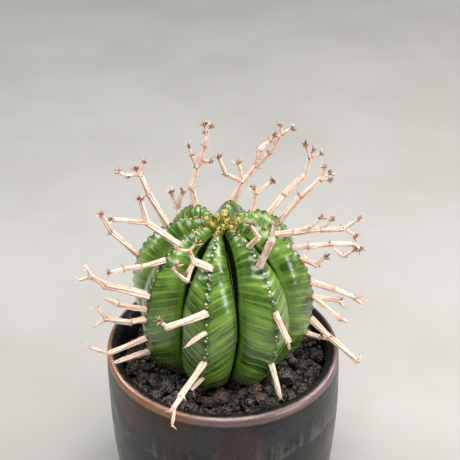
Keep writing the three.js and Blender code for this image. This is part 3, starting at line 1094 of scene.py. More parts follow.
# ------------------------------------------------------------------ soil
@dataclass
class LavaBed:
    """The bed of lava grains, with the plant's root in its middle."""

    level: float = 74.0
    inner_radius: float = 43.9
    grain: tuple[float, float] = (2.0, 4.1)
    kinds: int = 9
    coarse: int = 420
    crumbs: int = 300
    chips: int = 7
    faces: int = 60
    flatness: float = 0.88
    edge_angle: float = 38.0
    tries: int = 14
    seed: int = 7
    heap: list[tuple[float, float, float, float]] = field(default_factory=list)

    def build_bed(self) -> bpy.types.Object:
        """Makes the packed soil under the loose grains, hollow where the root stands.

        Returns:
            The bed.
        """
        profile = [(1.5, 9.2), (24, 9.2), (32.6, 9.3), (36.6, 10.8), (39.4, 13.8), (41.2, 19.5),
                   (41.9, 26), (42.8, 46), (43.3, 60), (43.6, self.level - 4.4),
                   (42.6, self.level - 3.6), (34, self.level - 3.6), (25, self.level - 3.6),
                   (17, self.level - 3.8), (15.4, self.level - 5.5), (12.6, 63), (9, 56),
                   (5, 50.4), (1.5, 49.4)]
        bed = thrown("soil_bed", profile, 64, loop=False)
        modify(bed, "SUBSURF", levels=1, render_levels=1)

        def roughen(point: Vector) -> Vector:
            """Lifts a point of the top into small heaps.

            Args:
                point: the point, in metres.

            Returns:
                Where it goes.
            """
            if point.z > (self.level - 5) * MM:
                point.z += 1.1 * MM * fine(point, 5, 2.0) + 0.5 * MM * fine(point, 2, 6.0)
            return point

        sculpt(bed, roughen)
        smooth(bed)
        paint(bed.data, "tone", 0.1)
        return bed

    def _patterns(self) -> list[bpy.types.Object]:
        """Models the kinds of grain once each.

        Returns:
            The patterns, about one unit in radius.
        """
        patterns = []
        rng = random.Random(self.seed + 1)
        for kind in range(self.kinds):
            pick()
            bpy.ops.mesh.primitive_ico_sphere_add(subdivisions=3, radius=1.0)
            pattern = bpy.context.active_object
            pattern.name = f"grain_pattern_{kind}"
            shift = Vector((3.7 * kind, 1.9 * kind, 5.1))
            chips = [(any_way(rng).normalized(), rng.uniform(0.6, 0.86))
                     for _ in range(self.chips)]
            for vertex in pattern.data.vertices:
                spot = vertex.co.copy()
                spot *= 1 + 0.4 * noise.noise(spot * 1.2 + shift)
                for way, limit in chips:
                    over = spot.dot(way) - limit
                    if over > 0:
                        spot -= way * (0.85 * over)
                spot *= 1 + 0.22 * noise.noise(spot * 4.1 + shift)
                vertex.co = spot
                vertex.co.z *= self.flatness
            modify(pattern, "DECIMATE", ratio=self.faces / len(pattern.data.polygons))
            smooth(pattern)
            bpy.ops.object.shade_smooth_by_angle(angle=math.radians(self.edge_angle))
            patterns.append(pattern)
        return patterns

    def _drop(self, rng: random.Random, radius: float, stem: Callable[[float, float], float],
              top: float) -> tuple[float, float, float] | None:
        """Lets one grain fall onto the heap.

        Args:
            rng: the source of chance.
            radius: the grain's radius.
            stem: the plant's radius at a height and bearing.
            top: how high its centre may come to rest.

        Returns:
            Where its centre rests, or None where there's no room.
        """
        reach = self.inner_radius - 0.9 * radius
        out = math.sqrt(rng.uniform(11.0 ** 2, reach ** 2))
        turn = rng.uniform(0, 2 * math.pi)
        x, y = out * math.cos(turn), out * math.sin(turn)
        z = self.level - 3.4 + 0.55 * radius
        for hx, hy, hz, hr in self.heap:
            flat = math.hypot(x - hx, y - hy)
            both = 0.86 * (radius + hr)
            if flat < both:
                z = max(z, hz + math.sqrt(both * both - flat * flat))
        if z > top or out < stem(z, math.degrees(math.atan2(x, -y))) + 0.8 * radius:
            return None
        return x, y, z

    def build_grains(self, stem: Callable[[float, float], float]) -> bpy.types.Object:
        """Heaps up the loose grains.

        Args:
            stem: the plant's radius at a height and bearing.

        Returns:
            All the grains as one piece.
        """
        rng = random.Random(self.seed)
        patterns = self._patterns()
        grains = []
        sizes = sorted((rng.triangular(*self.grain, 2.9) for _ in range(self.coarse)),
                       reverse=True)
        sizes += [rng.uniform(0.6, 1.4) for _ in range(self.crumbs)]
        for i, radius in enumerate(sizes):
            top = self.level + (2.4 if radius > 1.6 else 3.6)
            for _ in range(self.tries):
                spot = self._drop(rng, radius, stem, top)
                if spot:
                    break
            if not spot:
                continue
            self.heap.append((*spot, radius))
            way = any_way(rng, 1.4).normalized()
            stretch = [1.08 * radius * MM * rng.uniform(0.82, 1.18) for _ in range(3)]
            place = placed(Vector(spot) * MM, way, stretch, rng.uniform(0, ALL_ROUND))
            grains.append(set_out(patterns[i % self.kinds], place, "tone", rng.random() ** 1.3))
        discard(patterns)
        log.info("soil: %d grains", len(grains))
        return join(grains, "lava_grains")


# ------------------------------------------------------------------ plant body
@dataclass
class RibbedBody:
    """The globular green body: eight ribs with a toothed ridge, round a dipped crown."""

    radius: float = 38.0
    half_height: float = 38.5
    squareness: float = 2.2
    ribs: int = 8
    rib_slope: float = 0.12
    crease_depth: float = 0.15
    crease_sharpness: float = 8.5
    crown_crease_depth: float = 0.25
    crown_crease_sharpness: float = 2.6
    low_crease_rise: float = 0.2
    front_bearing: float = -10.0
    twist: float = 8.0
    crown_dip: float = 3.5
    crown_dip_radius: float = 9.0
    root_length: float = 22.0
    centre: float = 74.0 + 0.95 * 38.5
    tooth_gap: float = 3.9
    tooth: float = 0.6
    tooth_shift: float = 0.37
    fold: float = 0.045
    line_rise: float = 9.0
    columns: int = 46
    rows: int = 204

    def rib_angle(self) -> float:
        """Returns the angle from one ridge to the next, in degrees."""
        return 360.0 / self.ribs

    def cut(self, bearing: float, polar: float) -> float:
        """Works out the share of the radius lost between ridges, most of it in a tight crease.

        Args:
            bearing: degrees from the front rib's ridge.
            polar: the angle down from the crown, in radians.

        Returns:
            The share.
        """
        wrapped = bearing % self.rib_angle()
        off = min(wrapped, self.rib_angle() - wrapped) / (self.rib_angle() / 2)
        closed = ease((polar / math.pi - 0.15) / 0.3)
        sharpness = self.crown_crease_sharpness
        sharpness += (self.crease_sharpness - sharpness) * closed
        depth = self.crown_crease_depth + (self.crease_depth - self.crown_crease_depth) * closed
        lost = self.rib_slope * off ** 1.1 + depth * off ** sharpness
        return lost * abs(math.sin(polar)) ** 0.4

    def point(self, bearing: float, polar: float, out: float = 0.0) -> Vector:
        """Finds a point of the skin.

        Args:
            bearing: degrees from the front rib's ridge.
            polar: the angle down from the crown, in radians.
            out: how far the point stands out from the skin, in millimetres.

        Returns:
            The point, in millimetres.
        """
        power = 2 / self.squareness
        sine, cosine = abs(math.sin(polar)), math.cos(polar)
        reach = self.radius * sine ** power + out * sine
        rise = math.copysign(self.half_height * abs(cosine) ** power, cosine) + out * cosine
        cut = self.cut(bearing, polar)
        reach *= 1 - cut
        rise *= 1 - (cut if rise > 0 else self.low_crease_rise * cut)
        if polar < math.pi / 2:
            rise -= self.crown_dip * math.exp(-((reach / self.crown_dip_radius) ** 2))
        rise -= self.root_length * ease((polar / math.pi - 0.84) / 0.16)
        twist = self.twist * rise / self.half_height if rise < 0 else 0.0
        turn = math.radians(self.front_bearing + bearing + max(twist, -12.0))
        return Vector((reach * math.sin(turn), -reach * math.cos(turn), self.centre + rise))

    def _halved(self, bearing: float, height: float, low: float, high: float,
                rounds: int) -> tuple[float, float]:
        """Closes in on where the skin passes a height.

        Args:
            bearing: degrees from the front rib's ridge.
            height: the height, in millimetres.
            low: a polar angle above that place, in radians.
            high: a polar angle below it.
            rounds: how often the range is halved.

        Returns:
            The last range.
        """
        for _ in range(rounds):
            middle = (low + high) / 2
            if self.point(bearing, middle).z > height:
                low = middle
            else:
                high = middle
        return low, high

    def polar_at(self, rib: int, height: float) -> float:
        """Returns the polar angle, in radians, where a ridge stands at a height."""
        return sum(self._halved(rib * self.rib_angle(), height, 0.12 * math.pi,
                                0.8 * math.pi, 30)) / 2

    def stem_radius(self, height: float, bearing: float) -> float:
        """Finds the body's radius, for the grains that lie round it.

        Args:
            height: the height above the foot, in millimetres.
            bearing: degrees from the front.

        Returns:
            The radius, in millimetres.
        """
        own = bearing - self.front_bearing
        spot = self.point(own, self._halved(own, height, 0.5 * math.pi, math.pi, 22)[0])
        return math.hypot(spot.x, spot.y)

    @cached_property
    def outline(self) -> tuple[list[float], list[float]]:
        """Measures a ridge from the crown down, once.

        Returns:
            Polar angles in radians, and the ridge's length to each, in millimetres.
        """
        steps = 400
        polars, alongs = [0.0], [0.0]
        last = self.point(0, 0)
        for i in range(1, steps + 1):
            polars.append(math.pi * i / steps)
            here = self.point(0, polars[-1])
            alongs.append(alongs[-1] + (here - last).length)
            last = here
        return polars, alongs

    def from_ridge(self, off: float, polar: float) -> float:
        """Returns how far a place across the face is from the ridge, in millimetres."""
        return off * (self.radius * math.sin(polar)) * math.radians(self.rib_angle() / 2)

    def tooth_wave(self, along: float, rib: int) -> float:
        """Returns the rhythm of the teeth: 1 on a tooth and 0 between two."""
        beat = along / self.tooth_gap + self.tooth_shift * rib
        return 0.5 + 0.5 * math.cos(2 * math.pi * beat)

    def tooth_height(self, along: float, rib: int, side: float) -> float:
        """Returns how far the ridge's teeth stand out at a place.

        Args:
            along: the distance from the crown, in millimetres.
            rib: the rib's number.
            side: the distance from the ridge, in millimetres.

        Returns:
            The height, in millimetres.
        """
        wave = self.tooth_wave(along, rib)
        return self.tooth * (wave ** 1.3 - 0.25) * math.exp(-((side / 1.9) ** 2))

    def relief(self, bearing: float, polar: float, off: float, along: float,
               course: float) -> float:
        """Works out how far the skin stands out from its plain form.

        Args:
            bearing: degrees from the front rib's ridge.
            polar: the angle down from the crown, in radians.
            off: the place across the face, from 0 at the ridge to 1 in the crease.
            along: the distance from the crown along the ridge, in millimetres.
            course: the distance that the pale lines follow, in millimetres.

        Returns:
            The height, in millimetres.
        """
        fade = min(1.0, max(0.0, (polar - 0.05) / 0.25), max(0.0, (2.75 - polar) / 0.15))
        rib = round(bearing / self.rib_angle()) % self.ribs
        out = self.tooth_height(along, rib, self.from_ridge(off, polar))
        flank = min(1.0, off / 0.15) * (1 - off ** 6)
        out += self.fold * math.cos(2 * math.pi * course / self.tooth_gap) * flank
        skin = self.point(bearing, polar) * MM
        crown = max(0.0, 1 - polar / 0.9)
        out += 0.2 * fine(skin, 10, 4.0) + (0.05 + 0.5 * crown) * fine(skin, 3.4, 9.0)
        return fade * out

    def build(self) -> bpy.types.Object:
        """Models the body from a ball, drawn into ribs, teeth and faint cross folds.

        Returns:
            The body.
        """
        pick()
        columns = self.columns * self.ribs
        bpy.ops.mesh.primitive_uv_sphere_add(segments=columns, ring_count=self.rows, radius=1.0)
        body = bpy.context.active_object
        marks: dict[str, list[float]] = {
            name: [] for name in ("across", "along", "course", "scar", "rib")}
        rows = []
        for vertex in body.data.vertices:
            spot = vertex.co
            polar = math.acos(max(-1.0, min(1.0, spot.z)))
            turn = math.degrees(math.atan2(spot.x, -spot.y)) % 360
            rib = round(turn / self.rib_angle())
            even = (turn - rib * self.rib_angle()) / (self.rib_angle() / 2)
            off = (1 - math.cos(math.pi * abs(even))) / 2 * 0.8 + abs(even) * 0.2
            bearing = (rib + math.copysign(off, even) / 2) * self.rib_angle()
            along = float(np.interp(polar, *self.outline))
            place = self.point(bearing, polar) * MM
            course = along + self.line_rise * math.sin(polar) * off ** 0.8
            course += 1.6 * fine(place, 26, 6.0) + 0.5 * fine(place, 7, 2.0)
            skin = self.point(bearing, polar, self.relief(bearing, polar, off, along, course))
            rows.append((skin.x * MM, skin.y * MM, skin.z * MM))
            scar = self.tooth_wave(along, rib % self.ribs) ** 3
            scar *= math.exp(-((self.from_ridge(off, polar) / 0.85) ** 2))
            for name, value in zip(marks, (off, along, course, scar, rib % self.ribs)):
                marks[name].append(value)
        move_points(body.data, np.array(rows))
        for name, values in marks.items():
            paint(body.data, name, values)
        settle(body, "ribbed_body")
        face_out(body)
        smooth(body)
        return body

    def ridge_frame(self, rib: int, along: float) -> tuple[Vector, Vector, Vector]:
        """Finds a place on a ridge.

        Args:
            rib: the rib's number.
            along: the distance from the crown, in millimetres.

        Returns:
            The point in millimetres, the way out of the skin and the way down the ridge.
        """
        polars, alongs = self.outline
        polar = float(np.interp(along, alongs, polars))
        bearing = rib * self.rib_angle()
        here = self.point(bearing, polar, self.tooth_height(along, rib, 0.0))
        down = (self.point(bearing, polar + 0.01) - self.point(bearing, polar - 0.01)).normalized()
        side = (self.point(bearing + 0.5, polar) - self.point(bearing - 0.5, polar)).normalized()
        out = side.cross(down)
        if out.dot(here - Vector((0, 0, self.centre))) < 0:
            out = -out
        return here, out.normalized(), down


@dataclass
class RidgeMarks:
    """The corky leaf scars in a row down each ridge, and dry scales near the crown."""

    body: RibbedBody
    seed: int = 21
    highest: float = 8.0
    lowest: float = 72.0
    scales_end: float = 19.0
    large: tuple[float, float] = (0.32, 0.56)
    small: tuple[float, float] = (0.18, 0.34)
    clear_of_stalk: float = 1.7

    def _scar_pattern(self) -> bpy.types.Object:
        """Models one scar: a low dome with a dimple.

        Returns:
            The pattern, about one unit in radius.
        """
        pick()
        bpy.ops.mesh.primitive_uv_sphere_add(segments=8, ring_count=6, radius=1.0)
        pattern = bpy.context.active_object
        for vertex in pattern.data.vertices:
            if vertex.co.z > 0.9:
                vertex.co.z = 0.55
        smooth(pattern)
        return pattern

    def build(self, roots: Sequence[Vector], bract: bpy.types.Object) -> bpy.types.Object:
        """Sets the scars along every ridge.

        Args:
            roots: where stalks stand, in millimetres; no scar is set there.
            bract: the dry scale that is copied near the crown.

        Returns:
            All the scars as one piece.
        """
        rng = random.Random(self.seed)
        pattern = self._scar_pattern()
        marks = []
        for rib in range(self.body.ribs):
            count = int((self.lowest - 5) / self.body.tooth_gap)
            for i in range(count * 2):
                minor = i % 2 == 1
                along = (i / 2 + 1.5 - self.body.tooth_shift * rib % 1.0) * self.body.tooth_gap
                along += rng.uniform(-0.35, 0.35)
                if not self.highest <= along <= self.lowest:
                    continue
                here, out, down = self.body.ridge_frame(rib, along)
                side = out.cross(down)
                for _ in range(rng.choice((0, 1, 2)) if minor else 1):
                    size = rng.uniform(*(self.small if minor else self.large))
                    swing = rng.choice((-1, 1)) * 0.8 if minor else rng.uniform(-0.4, 0.4)
                    spot = here + side * swing - out * (0.12 if minor else 0.02)
                    if any((spot - root).length < self.clear_of_stalk for root in roots):
                        continue
                    place = placed(spot * MM, out, (size * MM, size * MM, 0.55 * size * MM))
                    marks.append(set_out(pattern, place, "age", rng.random() ** 2 * 0.8))
        marks += self._crown_scales(bract, rng)
        discard([pattern])
        return join(marks, "leaf_scars")

    def _crown_scales(self, bract: bpy.types.Object,
                      rng: random.Random) -> list[bpy.types.Object]:
        """Sets the dry scales that still stand on the ridges near the crown.

        Args:
            bract: the scale that is copied.
            rng: the source of chance.

        Returns:
            The scales.
        """
        scales = []
        for rib in range(self.body.ribs):
            along = 4.0
            while along < self.scales_end:
                here, out, down = self.body.ridge_frame(rib, along)
                side = out.cross(down)
                size = rng.uniform(0.8, 1.6) * (1.15 - 0.5 * along / self.scales_end)
                spot = here + side * rng.uniform(-0.7, 0.7) - out * 0.25
                lean = (out + side * rng.uniform(-0.7, 0.7) - down * rng.uniform(-0.3, 0.9))
                place = placed(spot * MM, lean.normalized(), [size * MM] * 3,
                               rng.uniform(0, ALL_ROUND))
                scales.append(set_out(bract, place, "age", rng.uniform(0.5, 1.0)))
                along += rng.uniform(0.7, 1.5)
        return scales


# ------------------------------------------------------------------ stalks
@dataclass(frozen=True)
class Limb:
    """One length of a stalk: the joint it grows from, its length, way and thickness."""

    source: int
    length: float
    bearing: float
    climb: float
    thickness: float


@dataclass(frozen=True)
class StalkSpec:
    """A stalk: its rib, the height of its root above the soil, and its lengths in order."""

    node: str
    rib: Rib
    height: float
    limbs: tuple[Limb, ...]


def stalk(node: str, rib: Rib, height: float,
          *limbs: tuple[int, float, float, float, float]) -> StalkSpec:
    """Describes a stalk in plain numbers.

    Args:
        node: the stalk's name, without its first word.
        rib: the rib that it grows on.
        height: the height of its root above the soil, in millimetres.
        limbs: source, length, bearing, climb and thickness of each length.

    Returns:
        The description.
    """
    return StalkSpec("stalk_" + node, rib, height, tuple(Limb(*row) for row in limbs))


STALKS: tuple[StalkSpec, ...] = (
    stalk("front_1", Rib.FRONT, 67, (0, 8, 290, 38, 3), (1, 5.5, 280, 72, 1.9),
          (2, 4.6, 90, 50, 1.3), (2, 4.6, 270, 10, 1.3), (1, 8, 320, -58, 1.5),
          (5, 8, 275, 48, 1.4), (6, 2.6, 90, 50, 1.2), (1, 5.5, 290, -55, 1.3)),
    stalk("front_2", Rib.FRONT, 53, (0, 17, 300, 0, 2.8), (1, 5, 290, 55, 1.6)),
    stalk("front_3", Rib.FRONT, 45, (0, 9, 300, -20, 2)),
    stalk("front_4", Rib.FRONT, 30, (0, 17, 327, -18, 2.8), (1, 5, 327, -20, 2.2),
          (2, 3, 300, -45, 1.5), (2, 8, 345, -60, 1.5)),
    stalk("front_5", Rib.FRONT, 20, (0, 7, 320, -15, 2)),
    stalk("front_right_1", Rib.FRONT_RIGHT, 71, (0, 7, 60, 52, 2.4), (1, 9, 300, 62, 1.5)),
    stalk("front_right_2", Rib.FRONT_RIGHT, 66, (0, 16, 45, 68, 3), (1, 8, 80, 80, 2)),
    stalk("front_right_3", Rib.FRONT_RIGHT, 49, (0, 12, 45, -55, 2.6), (1, 4, 45, -80, 1.5)),
    stalk("front_right_4", Rib.FRONT_RIGHT, 24, (0, 15, 30, -60, 2.4)),
    stalk("right_1", Rib.RIGHT, 69, (0, 7, 85, 10, 2.8), (1, 11, 85, 10, 2.6),
          (2, 9, 85, 5, 2.2), (3, 8, 85, 40, 1.5), (3, 6, 85, -35, 1.4), (2, 7, 80, 50, 1.4),
          (1, 7, 80, 25, 1.6), (7, 7, 90, 45, 1.3)),
    stalk("right_2", Rib.RIGHT, 63, (0, 7, 70, 20, 2.4), (1, 9, 75, 15, 2.2),
          (2, 9, 80, 5, 2), (3, 4, 80, -35, 1.6), (2, 7, 60, -35, 1.4), (5, 6, 80, 40, 1.3)),
    stalk("right_3", Rib.RIGHT, 58.5, (0, 7, 65, -12, 2.4), (1, 6, 80, 50, 1.6)),
    stalk("right_4", Rib.RIGHT, 47, (0, 10, 75, -12, 2.6), (1, 9, 75, -18, 2.2),
          (2, 4, 80, 30, 1.5), (2, 4, 65, -35, 1.5)),
    stalk("right_5", Rib.RIGHT, 40, (0, 11, 85, -10, 2.4), (1, 4, 75, -55, 1.6),
          (0, 14, 55, -25, 2.2), (3, 4, 70, -20, 1.5)),
    stalk("right_6", Rib.RIGHT, 29, (0, 11, 60, -36, 2.8), (1, 15, 60, -30, 2.4),
          (2, 3, 90, 60, 1.8)),
    stalk("right_7", Rib.RIGHT, 22, (0, 6, 80, -15, 2.2), (1, 9, 90, -15, 1.8)),
    stalk("back_right_1", Rib.BACK_RIGHT, 68, (0, 10, 110, 48, 2.8), (1, 12, 110, 40, 2.6),
          (2, 8, 100, 75, 2), (3, 6, 270, 70, 1.2), (3, 4, 90, 68, 1.2), (3, 5, 90, 20, 1.2)),
    stalk("back_right_2", Rib.BACK_RIGHT, 62, (0, 15, 84, 56, 2.8), (1, 11, 95, 45, 2.4),
          (2, 6, 95, 75, 1.6), (2, 5, 90, 33, 1.5), (2, 4, 90, -10, 1.4)),
    stalk("back_right_3", Rib.BACK_RIGHT, 73, (0, 8, 120, 75, 2.2), (1, 3, 270, 60, 1.3),
          (1, 8, 100, 35, 1.6)),
    stalk("back_right_4", Rib.BACK_RIGHT, 30, (0, 10, 150, 0, 2.6), (1, 5, 170, 40, 1.6)),
    stalk("back_1", Rib.BACK, 66, (0, 10, 110, 60, 3.4), (1, 9, 100, 52, 2.8),
          (2, 8, 100, 46, 2.4), (3, 10, 100, 59, 2), (4, 4, 270, 80, 1.2),
          (4, 5, 90, 30, 1.2), (2, 8, 80, 80, 2), (7, 6, 100, 42, 1.8), (8, 3, 95, 50, 1.4),
          (1, 8, 265, 25, 2), (10, 9, 265, 70, 1.8), (1, 9, 230, 72, 1.8)),
    stalk("back_2", Rib.BACK, 38, (0, 16, 178, 10, 2.8), (1, 6, 200, 35, 1.6),
          (1, 5, 160, 10, 1.5)),
    stalk("back_left_1", Rib.BACK_LEFT, 71, (0, 8, 235, 80, 2.8), (1, 10, 100, 77, 2.6),
          (2, 10, 100, 69, 2.2), (3, 7, 100, 84, 1.8), (4, 3, 270, 74, 1.2),
          (4, 3, 90, 48, 1.2), (2, 6, 260, 69, 1.5), (7, 4, 260, 75, 1.2),
          (2, 4, 90, 42, 1.4), (9, 3, 90, -5, 1.3)),
    stalk("back_left_2", Rib.BACK_LEFT, 57, (0, 5, 170, 75, 2.4), (1, 8, 260, 72, 2),
          (1, 8, 100, 70, 2)),
    stalk("back_left_3", Rib.BACK_LEFT, 32, (0, 13, 205, 5, 2.4), (1, 5, 190, 50, 1.5)),
    stalk("left_1", Rib.LEFT, 69, (0, 16, 262, 64, 2.8), (1, 9, 262, 72, 2.2),
          (2, 6, 300, 110, 1.5), (2, 3, 262, 56, 1.5), (2, 6, 255, -15, 1.6),
          (5, 4, 262, 30, 1.3)),
    stalk("left_2", Rib.LEFT, 53, (0, 15, 258, 42, 2.6), (1, 9, 260, 65, 2.2)),
    stalk("front_left_1", Rib.FRONT_LEFT, 70, (0, 18, 290, 47, 2.8), (1, 14, 283, 14, 2.2),
          (1, 11, 275, 80, 2.2)),
    stalk("front_left_2", Rib.FRONT_LEFT, 65, (0, 10, 295, 0, 2.2), (1, 7, 290, 5, 2),
          (2, 6, 285, -5, 1.5)),
    stalk("front_left_3", Rib.FRONT_LEFT, 51, (0, 18, 280, 25, 3.4), (1, 7, 275, 43, 2.4),
          (2, 4, 270, 70, 1.4), (2, 6, 270, -20, 1.5), (2, 5, 225, 45, 1.3)),
    stalk("front_left_4", Rib.FRONT_LEFT, 45.5, (0, 12, 287, 24, 2.4), (1, 6, 275, 34, 2)),
    stalk("front_left_5", Rib.FRONT_LEFT, 40.5, (0, 6, 292, 4, 2.6), (1, 10, 280, 18, 2.4),
          (2, 7, 270, 58, 1.6), (2, 6, 285, -34, 1.6)),
    stalk("front_left_6", Rib.FRONT_LEFT, 30, (0, 16, 294, -9, 2.4), (1, 9, 280, 30, 1.8)),
    stalk("front_left_7", Rib.FRONT_LEFT, 22, (0, 16, 298, 0, 2.4)),
)


@dataclass
class Course:
    """Where one grown limb runs, kept so that its skin can be wrinkled along it."""

    start: Vector
    way: Vector
    length: float
    wide: float
    narrow: float
    run: float
    tip: bool
    first: bool
    bare: bool


@dataclass
class DryStalks:
    """The old flower stalks, their bracts and the crumbs of their spent flowers."""

    body: RibbedBody
    soil_level: float = 74.0
    withered_above: float = 52.0
    root_sink: float = 0.5
    taper: float = 0.8
    voxel: float = 0.2
    sides: int = 12
    seed: int = 5
    roots: list[Vector] = field(default_factory=list)

    def __post_init__(self) -> None:
        """Models the small parts that every stalk repeats."""
        self.bract = self._bract_pattern()
        self.crumb = self._crumb_pattern()

    @staticmethod
    def _bract_pattern() -> bpy.types.Object:
        """Models one bract: a small, hollowed, pointed scale that curls outwards.

        Returns:
            The pattern, one unit long.
        """
        pick()
        bpy.ops.mesh.primitive_cone_add(vertices=8, radius1=0.45, radius2=0.06, depth=1.0,
                                        location=(0, 0, 0.5))
        pattern = bpy.context.active_object
        edit_all()
        bpy.ops.mesh.subdivide(number_cuts=1)
        bpy.ops.object.mode_set(mode="OBJECT")
        settle(pattern, "bract_pattern")

        def curl(point: Vector) -> Vector:
            """Flattens the scale and bends its point over.

            Args:
                point: a point of the scale.

            Returns:
                Where it goes.
            """
            point.y = point.y * 0.34 + 0.30 * point.x * point.x
            point.y += 0.35 * point.z * point.z
            return point

        sculpt(pattern, curl)
        smooth(pattern)
        return pattern

    @staticmethod
    def _crumb_pattern() -> bpy.types.Object:
        """Models one crumpled remnant of a flower.

        Returns:
            The pattern, about one unit in radius.
        """
        pick()
        bpy.ops.mesh.primitive_ico_sphere_add(subdivisions=2, radius=1.0)
        pattern = bpy.context.active_object
        modify(pattern, "DECIMATE", ratio=0.5)
        settle(pattern, "crumb_pattern")
        sculpt(pattern, lambda p: p * (1 + 0.75 * noise.noise(p * 2.1 + Vector((4, 1, 7)))))
        return pattern

    def _limb(self, course: Course, rng: random.Random) -> bpy.types.Object:
        """Draws one tapering limb out of a disc, step by step along a slightly bowed line.

        Args:
            course: where it runs.
            rng: the source of chance.

        Returns:
            The limb.
        """
        pick()
        turn = course.way.to_track_quat("Z", "Y").to_euler()
        bpy.ops.mesh.primitive_circle_add(
            vertices=self.sides, radius=course.wide / 2 * MM, fill_type="NGON",
            location=course.start * MM, rotation=turn)
        limb = bpy.context.active_object
        side = course.way.orthogonal().normalized()
        side.rotate(Matrix.Rotation(rng.uniform(0, ALL_ROUND), 3, course.way))
        bow = 0.035 * course.length * rng.uniform(-1, 1)
        steps = max(3, round(course.length / 2.6))
        edit_all()
        last, width = course.start.copy(), course.wide
        for i in range(1, steps + 1):
            share = i / steps
            here = course.start + course.way * (course.length * share)
            here += side * (bow * math.sin(math.pi * share))
            wanted = course.wide + (course.narrow - course.wide) * share
            end = max(0.0, share - 0.8) / 0.2
            wanted *= 1 + 0.09 * rng.uniform(-1, 1) + (-0.45 if course.bare else 0.14) * end
            bpy.ops.mesh.extrude_region_move(
                TRANSFORM_OT_translate={"value": (here - last) * MM})
            size = wanted / width
            bpy.ops.transform.resize(value=(size, size, size), center_override=here * MM)
            last, width = here, wanted
        bpy.ops.object.mode_set(mode="OBJECT")
        return limb

    def _knuckle(self, place: Vector, width: float) -> bpy.types.Object:
        """Makes the swelling at a joint.

        Args:
            place: the joint, in millimetres.
            width: the limb's thickness there, in millimetres.

        Returns:
            The swelling.
        """
        pick()
        bpy.ops.mesh.primitive_ico_sphere_add(subdivisions=2, radius=0.6 * width * MM,
                                              location=place * MM)
        return bpy.context.active_object

    def _plan(self, spec: StalkSpec) -> tuple[list[Course], list[Vector]]:
        """Works out where a stalk's limbs run.

        Args:
            spec: the stalk.

        Returns:
            The limbs' courses and the joints, the root first, in millimetres.
        """
        polar = self.body.polar_at(spec.rib.value, self.soil_level + spec.height)
        root = self.body.point(spec.rib.value * self.body.rib_angle(), polar)
        joints, runs, courses = [root], [0.0], []
        forks = {limb.source for limb in spec.limbs}
        for i, limb in enumerate(spec.limbs):
            tip = (i + 1) not in forks
            way = heading(limb.bearing, limb.climb)
            first = limb.source == 0
            sunk = self.root_sink if first else 0.0
            courses.append(Course(joints[limb.source] - way * sunk, way, limb.length + sunk,
                                  limb.thickness, self.taper * limb.thickness,
                                  runs[limb.source], tip, first,
                                  tip and spec.height < self.withered_above))
            joints.append(joints[limb.source] + way * limb.length)
            runs.append(runs[limb.source] + limb.length)
        return courses, joints

    def _wrinkle(self, piece: bpy.types.Object, courses: Sequence[Course], seed: float) -> None:
        """Dries the stalk: lengthwise wrinkles, and what its finish needs to know.

        Args:
            piece: the stalk's smooth skin.
            courses: where its limbs run.
            seed: tells one stalk's wrinkles from another's.
        """
        mesh = piece.data
        rows = points_of(mesh) / MM
        normals = np.zeros(len(mesh.vertices) * 3)
        mesh.vertices.foreach_get("normal", normals)
        normals = normals.reshape(-1, 3)
        best = np.full(len(rows), 1e9)
        run, turn, age = (np.zeros(len(rows)) for _ in range(3))
        width = np.ones(len(rows))
        for number, course in enumerate(courses):
            way = np.array(course.way)
            one = np.array(course.way.orthogonal().normalized())
            two = np.cross(way, one)
            offset = rows - np.array(course.start)
            t = np.clip(offset @ way, 0, course.length)
            away = offset - t[:, None] * way
            thick = course.wide + (course.narrow - course.wide) * t / course.length
            gap = np.linalg.norm(away, axis=1) - thick / 2
            near = gap < best
            best = np.where(near, gap, best)
            run = np.where(near, course.run + t, run)
            turn = np.where(near, np.arctan2(away @ two, away @ one) + 0.9 * number, turn)
            width = np.where(near, thick, width)
            tip_age = np.clip(1 - (course.length - t) / 2.0, 0, 1) * (course.tip - course.bare)
            root_age = np.clip(1 - t / 2.2, 0, 1) * course.first
            joint_age = np.clip(1 - t / 1.1, 0, 1) * (not course.first)
            aged = np.maximum(0.65 * tip_age, np.maximum(0.3 * root_age, 0.4 * joint_age))
            age = np.where(near, aged, age)
        folds = (np.sin(5 * turn + seed + 0.12 * run) + 0.7 * np.sin(8 * turn - 2 * seed
                 + 0.2 * run) + 0.8 * np.sin(3 * turn + 0.35 * run + seed))
        deep = 0.052 * width * folds
        small = np.array([fine(Vector(row * MM), 0.9, seed) for row in rows])
        move_points(mesh, (rows + normals * (deep + 0.05 * small)[:, None]) * MM)
        paint(mesh, "age", age)
        # the fold height, which the finish uses for the painted highlight and shade on the
        # wrinkles
        paint(mesh, "fold_light", folds / 1.8)
        fibre = mesh.attributes.new("fibre", "FLOAT_VECTOR", "POINT")
        grain = np.stack([np.cos(turn), np.sin(turn), 0.16 * run + seed], axis=1)
        fibre.data.foreach_set("vector", grain.astype(np.float32).ravel())

